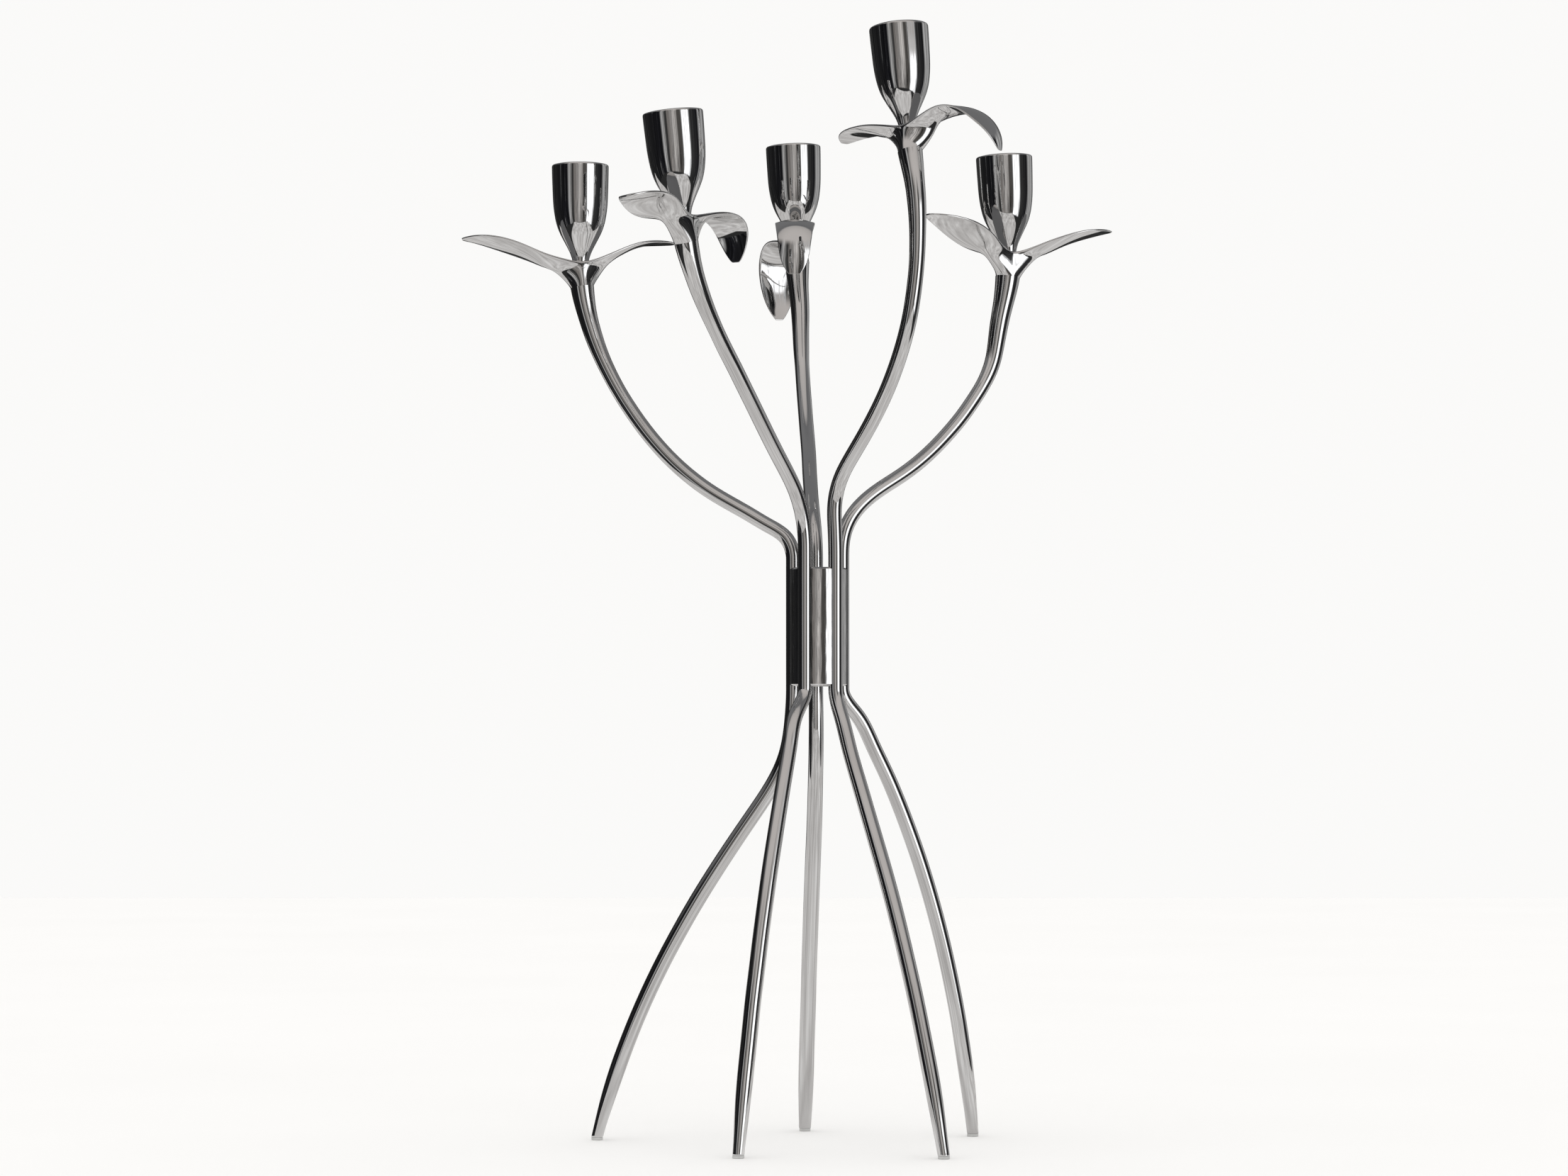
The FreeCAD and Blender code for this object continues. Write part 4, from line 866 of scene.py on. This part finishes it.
# ---------------------------------------------------------------- materials
class Nodes:
    def __init__(self, tree):
        self.t = tree
        tree.nodes.clear()

    def add(self, kind, **kw):
        n = self.t.nodes.new(kind)
        for k, v in kw.items():
            if k.startswith("in_"):
                key = k[3:]
                n.inputs[int(key) if key.isdigit() else key.replace("_", " ")].default_value = v
            else:
                setattr(n, k, v)
        return n

    def link(self, a, b):
        self.t.links.new(a, b)

    def math(self, op, a, b=None, c=None, clamp=False):
        n = self.add("ShaderNodeMath", operation=op, use_clamp=clamp)
        for i, v in enumerate((a, b, c)):
            if v is None:
                continue
            if isinstance(v, (int, float)):
                n.inputs[i].default_value = v
            else:
                self.link(v, n.inputs[i])
        return n.outputs[0]

    def spread(self, value, lo0, hi0, lo1, hi1, smooth=True):
        n = self.add("ShaderNodeMapRange", interpolation_type="SMOOTHSTEP" if smooth else "LINEAR")
        self.link(value, n.inputs["Value"])
        n.inputs["From Min"].default_value = lo0
        n.inputs["From Max"].default_value = hi0
        n.inputs["To Min"].default_value = lo1
        n.inputs["To Max"].default_value = hi1
        return n.outputs["Result"]

    def noise(self, coord, scale, detail=3.0, rough=0.55):
        n = self.add("ShaderNodeTexNoise")
        n.inputs["Scale"].default_value = scale
        n.inputs["Detail"].default_value = detail
        n.inputs["Roughness"].default_value = rough
        self.link(coord, n.inputs["Vector"])
        return n.outputs["Fac"]

    def colour(self, fac, stops, interpolation="LINEAR"):
        n = self.add("ShaderNodeValToRGB")
        n.color_ramp.interpolation = interpolation
        e = n.color_ramp.elements
        while len(e) < len(stops):
            e.new(0.5)
        for item, (p, c) in zip(e, stops):
            item.position = p
            item.color = (*c, 1.0)
        self.link(fac, n.inputs["Fac"])
        return n.outputs["Color"]

    def bump(self, height, strength, distance, normal=None):
        n = self.add("ShaderNodeBump")
        n.inputs["Strength"].default_value = strength
        n.inputs["Distance"].default_value = distance
        self.link(height, n.inputs["Height"])
        if normal is not None:
            self.link(normal, n.inputs["Normal"])
        return n.outputs["Normal"]


def material(name):
    m = bpy.data.materials.new(name)
    m.use_nodes = True
    return m, Nodes(m.node_tree)


def metal(name, tint_a, tint_b, rough, wear, turned=0.0, filed=0.0):
    """Plated metal: slow change of tint, cloudy polish, fine wiping marks and specks."""
    m, n = material(name)
    out = n.add("ShaderNodeOutputMaterial")
    b = n.add("ShaderNodeBsdfPrincipled")
    n.link(b.outputs[0], out.inputs["Surface"])
    b.inputs["Metallic"].default_value = 1.0
    co = n.add("ShaderNodeTexCoord").outputs["Object"]
    slow = n.noise(co, 26.0, 2.0)
    cloud = n.noise(co, 140.0, 4.0, 0.6)
    stretch = n.add("ShaderNodeMapping")
    n.link(co, stretch.inputs["Vector"])
    stretch.inputs["Scale"].default_value = (900.0, 900.0, 60.0)
    stretch.inputs["Rotation"].default_value = (0.25, 0.35, 0.1)
    wipes = n.noise(stretch.outputs["Vector"], 1.0, 3.0, 0.6)
    specks = n.add("ShaderNodeTexVoronoi", feature="F1")
    specks.inputs["Scale"].default_value = 620.0
    n.link(co, specks.inputs["Vector"])
    speck = n.spread(specks.outputs["Distance"], 0.0, 0.16, 1.0, 0.0)
    tint = n.colour(n.spread(slow, 0.32, 0.68, 0.0, 1.0), [(0.0, tint_a), (1.0, tint_b)])
    dull = n.add("ShaderNodeMix", data_type="RGBA", blend_type="MULTIPLY")
    n.link(n.math("MULTIPLY", speck, 0.25 * wear), dull.inputs["Factor"])
    n.link(tint, dull.inputs[6])
    dull.inputs[7].default_value = (0.62, 0.6, 0.57, 1.0)
    n.link(dull.outputs[2], b.inputs["Base Color"])
    r1 = n.spread(cloud, 0.35, 0.7, rough * 0.75, rough * 1.45)
    r2 = n.math("MULTIPLY", n.spread(wipes, 0.52, 0.72, 0.0, 1.0), 0.03 * wear)
    r3 = n.math("ADD", n.math("ADD", r1, r2), n.math("MULTIPLY", speck, 0.12 * wear))
    n.link(r3, b.inputs["Roughness"])
    normal = n.bump(n.spread(wipes, 0.4, 0.75, 0.0, 1.0), 0.35, 0.0000022 * wear)
    normal = n.bump(slow, 0.6, 0.0001, normal)
    normal = n.bump(n.noise(co, 95.0, 2.0), 0.5, 0.0000085, normal)
    if filed:
        pull = n.add("ShaderNodeMapping")
        n.link(co, pull.inputs["Vector"])
        pull.inputs["Scale"].default_value = (330.0, 330.0, 38.0)
        normal = n.bump(n.noise(pull.outputs["Vector"], 1.0, 2.0), 0.6, 0.00016 * filed, normal)
    if turned:
        sep = n.add("ShaderNodeSeparateXYZ")
        n.link(co, sep.inputs["Vector"])
        comb = n.add("ShaderNodeCombineXYZ")
        n.link(n.math("MULTIPLY", sep.outputs["Z"], 5200.0), comb.inputs["Z"])
        rings = n.noise(comb.outputs[0], 1.0, 2.0)
        normal = n.bump(rings, 0.6, 0.000012 * turned, normal)
    n.link(normal, b.inputs["Normal"])
    return m


def rubber(name):
    m, n = material(name)
    out = n.add("ShaderNodeOutputMaterial")
    b = n.add("ShaderNodeBsdfPrincipled")
    n.link(b.outputs[0], out.inputs["Surface"])
    co = n.add("ShaderNodeTexCoord").outputs["Object"]
    grain = n.noise(co, 1800.0, 4.0, 0.6)
    blotch = n.noise(co, 240.0, 2.0)
    c = n.colour(n.math("ADD", n.math("MULTIPLY", grain, 0.5), n.math("MULTIPLY", blotch, 0.5)),
                 [(0.3, (0.42, 0.42, 0.415)), (0.7, (0.56, 0.56, 0.55))])
    n.link(c, b.inputs["Base Color"])
    n.link(n.spread(grain, 0.3, 0.7, 0.35, 0.55), b.inputs["Roughness"])
    n.link(n.bump(grain, 0.6, 0.00006), b.inputs["Normal"])
    return m


# ---------------------------------------------------------------- build
POLISHED = metal("polished_plate", (0.715, 0.713, 0.71), (0.66, 0.656, 0.651), 0.028, 1.0)
FILED = metal("filed_plate", (0.715, 0.71, 0.705), (0.65, 0.643, 0.638), 0.035, 1.6, 0.0, 1.0)
SOCKET = metal("turned_socket", (0.72, 0.71, 0.69), (0.6, 0.59, 0.57), 0.24, 1.6, 1.0)
STEEL = metal("stud_steel", (0.56, 0.56, 0.57), (0.46, 0.46, 0.47), 0.26, 1.5)
PADS = rubber("pad_rubber")

NAMES = ("left", "front_left", "back", "front_right", "right")
for name in NAMES:
    s = Stem(name, STEMS[name])
    s.build(POLISHED)
    leaf_pair(s, POLISHED)
    candle_cup(s, POLISHED, SOCKET)
    stud(s, STEEL)
    foot_pad(s, PADS)
collar(FILED, SOCKET)


# ---------------------------------------------------------------- floor, light, camera
def floor():
    me = bpy.data.meshes.new("floor")
    n, size = 24, 7.0
    verts = [((i / n - 0.5) * size, (j / n - 0.5) * size, 0.0) for j in range(n + 1) for i in range(n + 1)]
    faces = [(j * (n + 1) + i, j * (n + 1) + i + 1, (j + 1) * (n + 1) + i + 1, (j + 1) * (n + 1) + i) for j in range(n) for i in range(n)]
    me.from_pydata(verts, [], faces)
    m, nd = material("floor_paper")
    out = nd.add("ShaderNodeOutputMaterial")
    b = nd.add("ShaderNodeBsdfPrincipled")
    co = nd.add("ShaderNodeTexCoord").outputs["Object"]
    fine = nd.noise(co, 420.0, 4.0)
    slow = nd.noise(co, 3.0, 2.0)
    c = nd.colour(nd.math("ADD", nd.math("MULTIPLY", fine, 0.35), nd.math("MULTIPLY", slow, 0.65)),
                  [(0.3, (0.885, 0.88, 0.872)), (0.7, (0.905, 0.9, 0.893))])
    nd.link(c, b.inputs["Base Color"])
    b.inputs["Roughness"].default_value = 0.9
    nd.link(nd.bump(fine, 0.15, 0.0001), b.inputs["Normal"])
    # in reflections the floor shows a painted reflection: a glowing patch with painted streaks of light and shade, in
    # place of light falling on the floor; it ends in front and at the sides, and outside it reflections see through the
    # floor
    sep = nd.add("ShaderNodeSeparateXYZ")
    nd.link(co, sep.inputs["Vector"])
    fx = nd.math("ABSOLUTE", nd.math("SUBTRACT", sep.outputs["X"], 0.03))
    wide = nd.math("MULTIPLY", nd.math("MAXIMUM", nd.math("ADD", sep.outputs["Y"], 0.1), 0.0), 1.1)
    mx = nd.spread(nd.math("SUBTRACT", fx, wide), 0.66, 0.71, 1.0, 0.0)
    front = nd.spread(sep.outputs["Y"], -1.04, -1.0, 0.0, 1.0)
    back = nd.spread(sep.outputs["Y"], 1.7, 2.1, 1.0, 0.0)
    seen_in_reflections = nd.math("MULTIPLY", nd.math("MULTIPLY", mx, front), back)
    # painted reflection: an emission seen only by glossy rays, with painted streaks of light and shade from a noise
    painted_reflection = nd.add("ShaderNodeEmission")
    streak = nd.noise(co, 7.0, 3.0)
    painted_reflection_tone = nd.colour(streak, [(0.34, (0.5, 0.485, 0.475)), (0.5, (0.66, 0.645, 0.635)), (0.66, (0.86, 0.85, 0.84))])
    nd.link(painted_reflection_tone, painted_reflection.inputs["Color"])
    clear = nd.add("ShaderNodeBsdfTransparent")
    seen = nd.add("ShaderNodeMixShader")
    nd.link(seen_in_reflections, seen.inputs[0])
    nd.link(clear.outputs[0], seen.inputs[1])
    nd.link(painted_reflection.outputs[0], seen.inputs[2])
    # glossy rays get the painted reflection patch, all other rays get the plain pale floor
    lp = nd.add("ShaderNodeLightPath")
    pick = nd.add("ShaderNodeMixShader")
    nd.link(lp.outputs["Is Glossy Ray"], pick.inputs[0])
    nd.link(b.outputs[0], pick.inputs[1])
    nd.link(seen.outputs[0], pick.inputs[2])
    nd.link(pick.outputs[0], out.inputs["Surface"])
    me.materials.append(m)
    ob = bpy.data.objects.new("floor", me)
    bpy.context.scene.collection.objects.link(ob)


def walls_value(n, colour):
    v = n.add("ShaderNodeRGBToBW")
    n.link(colour, v.inputs[0])
    return v.outputs[0]


def world():
    w = bpy.data.worlds.new("studio")
    bpy.context.scene.world = w
    w.use_nodes = True
    if hasattr(w, "cycles"):
        w.cycles.sampling_method = "NONE"
    n = Nodes(w.node_tree)
    out = n.add("ShaderNodeOutputWorld")
    co = n.add("ShaderNodeTexCoord").outputs["Generated"]
    sep = n.add("ShaderNodeSeparateXYZ")
    n.link(co, sep.inputs["Vector"])
    x, y, z = sep.outputs
    # turn about the vertical: 0 faces the camera side (-Y), +90 is +X
    az = n.math("MULTIPLY", n.math("ARCTAN2", x, n.math("MULTIPLY", y, -1.0)), 180.0 / math.pi)
    az = n.math("DIVIDE", n.math("ADD", az, 180.0), 360.0)

    def at(deg):
        return (deg + 180.0) / 360.0

    dark, grey, brown, white = (0.010, 0.010, 0.012), (0.34, 0.34, 0.34), (0.2, 0.185, 0.175), (1.75, 1.77, 1.8)
    walls = n.colour(az, [
        (0.0, (0.02, 0.02, 0.02)), (at(-150), (0.05, 0.05, 0.05)), (at(-140), (0.02, 0.02, 0.02)), (at(-62), dark), (at(-52), dark), (at(-46), (0.42, 0.42, 0.42)),
        (at(-38), (0.36, 0.355, 0.35)), (at(-33), (0.06, 0.06, 0.06)), (at(-26), (0.07, 0.068, 0.066)), (at(-22), brown), (at(-10), (0.3, 0.285, 0.275)), (at(-6), (0.5, 0.48, 0.465)),
        (at(10), (0.44, 0.42, 0.405)), (at(14), (0.08, 0.075, 0.07)), (at(29), (0.1, 0.095, 0.09)), (at(34), white),
        (at(58), white), (at(63), (0.05, 0.05, 0.05)), (at(100), dark), (at(112), (0.42, 0.42, 0.42)), (at(146), (0.34, 0.34, 0.34)), (at(160), (0.05, 0.05, 0.05)),
        (1.0, (0.02, 0.02, 0.02))])
    streak = n.add("ShaderNodeCombineXYZ")
    n.link(n.math("MULTIPLY", az, 70.0), streak.inputs["X"])
    n.link(n.math("MULTIPLY", z, 1.3), streak.inputs["Y"])
    fine = n.noise(streak.outputs[0], 1.0, 4.0, 0.65)
    gain = n.spread(fine, 0.36, 0.64, 0.3, 1.7, False)
    lines = n.math("MULTIPLY", n.spread(fine, 0.6, 0.68, 0.0, 0.16), n.spread(walls_value(n, walls), 0.1, 0.3, 1.0, 0.0))
    drawn = n.add("ShaderNodeMix", data_type="RGBA", blend_type="MULTIPLY")
    drawn.inputs["Factor"].default_value = 1.0
    n.link(walls, drawn.inputs[6])
    grey = n.add("ShaderNodeCombineColor")
    for k in range(3):
        n.link(gain, grey.inputs[k])
    n.link(grey.outputs[0], drawn.inputs[7])
    more = n.add("ShaderNodeMix", data_type="RGBA", blend_type="ADD")
    more.inputs["Factor"].default_value = 1.0
    n.link(drawn.outputs[2], more.inputs[6])
    thin = n.add("ShaderNodeCombineColor")
    for k in range(3):
        n.link(lines, thin.inputs[k])
    n.link(thin.outputs[0], more.inputs[7])
    walls = more.outputs[2]
    shut = n.math("MULTIPLY", n.spread(z, 0.2, 0.3, 0.0, 1.0), n.spread(walls_value(n, walls), 0.7, 1.0, 0.0, 1.0))
    blind = n.add("ShaderNodeMix", data_type="RGBA")
    n.link(shut, blind.inputs["Factor"])
    n.link(walls, blind.inputs[6])
    blind.inputs[7].default_value = (0.55, 0.53, 0.52, 1.0)
    walls = blind.outputs[2]
    # overhead: dim, with a lighter pinkish ceiling on the camera side
    low = n.spread(z, -0.45, -0.4, 1.0, 0.0)
    up = n.spread(z, 0.3, 0.48, 0.0, 1.0)
    top = n.add("ShaderNodeMix", data_type="RGBA")
    n.link(up, top.inputs["Factor"])
    n.link(walls, top.inputs[6])
    over = n.colour(n.spread(y, -0.75, 0.1, 0.0, 1.0), [(0.0, (0.62, 0.585, 0.565)), (0.45, (0.5, 0.475, 0.46)), (0.62, (0.17, 0.17, 0.175)), (1.0, (0.2, 0.2, 0.205))])
    n.link(over, top.inputs[7])
    base = n.add("ShaderNodeMix", data_type="RGBA")
    n.link(low, base.inputs["Factor"])
    n.link(top.outputs[2], base.inputs[6])
    base.inputs[7].default_value = (0.03, 0.03, 0.03, 1.0)
    seen_in_reflections = n.add("ShaderNodeBackground")
    n.link(base.outputs[2], seen_in_reflections.inputs["Color"])
    seen_in_reflections.inputs["Strength"].default_value = 1.0
    # what lights matt surfaces is even and soft; what the camera sees is plain and pale
    soft = n.add("ShaderNodeBackground", in_Color=(1.0, 0.995, 0.985, 1.0), in_Strength=1.17)
    pale = n.add("ShaderNodeBackground", in_Color=(0.96, 0.955, 0.945, 1.0), in_Strength=1.0)
    lp = n.add("ShaderNodeLightPath")
    mix1 = n.add("ShaderNodeMixShader")
    n.link(lp.outputs["Is Diffuse Ray"], mix1.inputs[0])
    n.link(seen_in_reflections.outputs[0], mix1.inputs[1])
    n.link(soft.outputs[0], mix1.inputs[2])
    mix2 = n.add("ShaderNodeMixShader")
    n.link(lp.outputs["Is Camera Ray"], mix2.inputs[0])
    n.link(mix1.outputs[0], mix2.inputs[1])
    n.link(pale.outputs[0], mix2.inputs[2])
    n.link(mix2.outputs[0], out.inputs["Surface"])


floor()
world()

cam = bpy.data.cameras.new("camera")
cam.lens = 5600.0 / 2212.0 * 36.0
cam.sensor_width = 36.0
cam.sensor_fit = "HORIZONTAL"
cam.clip_start, cam.clip_end = 0.05, 50.0
camera = bpy.data.objects.new("camera", cam)
camera.location = (-0.003025, -2.17931, 0.2190)
camera.rotation_euler = (math.radians(92.2549), 0.0, 0.0)
bpy.context.scene.collection.objects.link(camera)
bpy.context.scene.camera = camera
bpy.context.scene.view_settings.view_transform = "Standard"
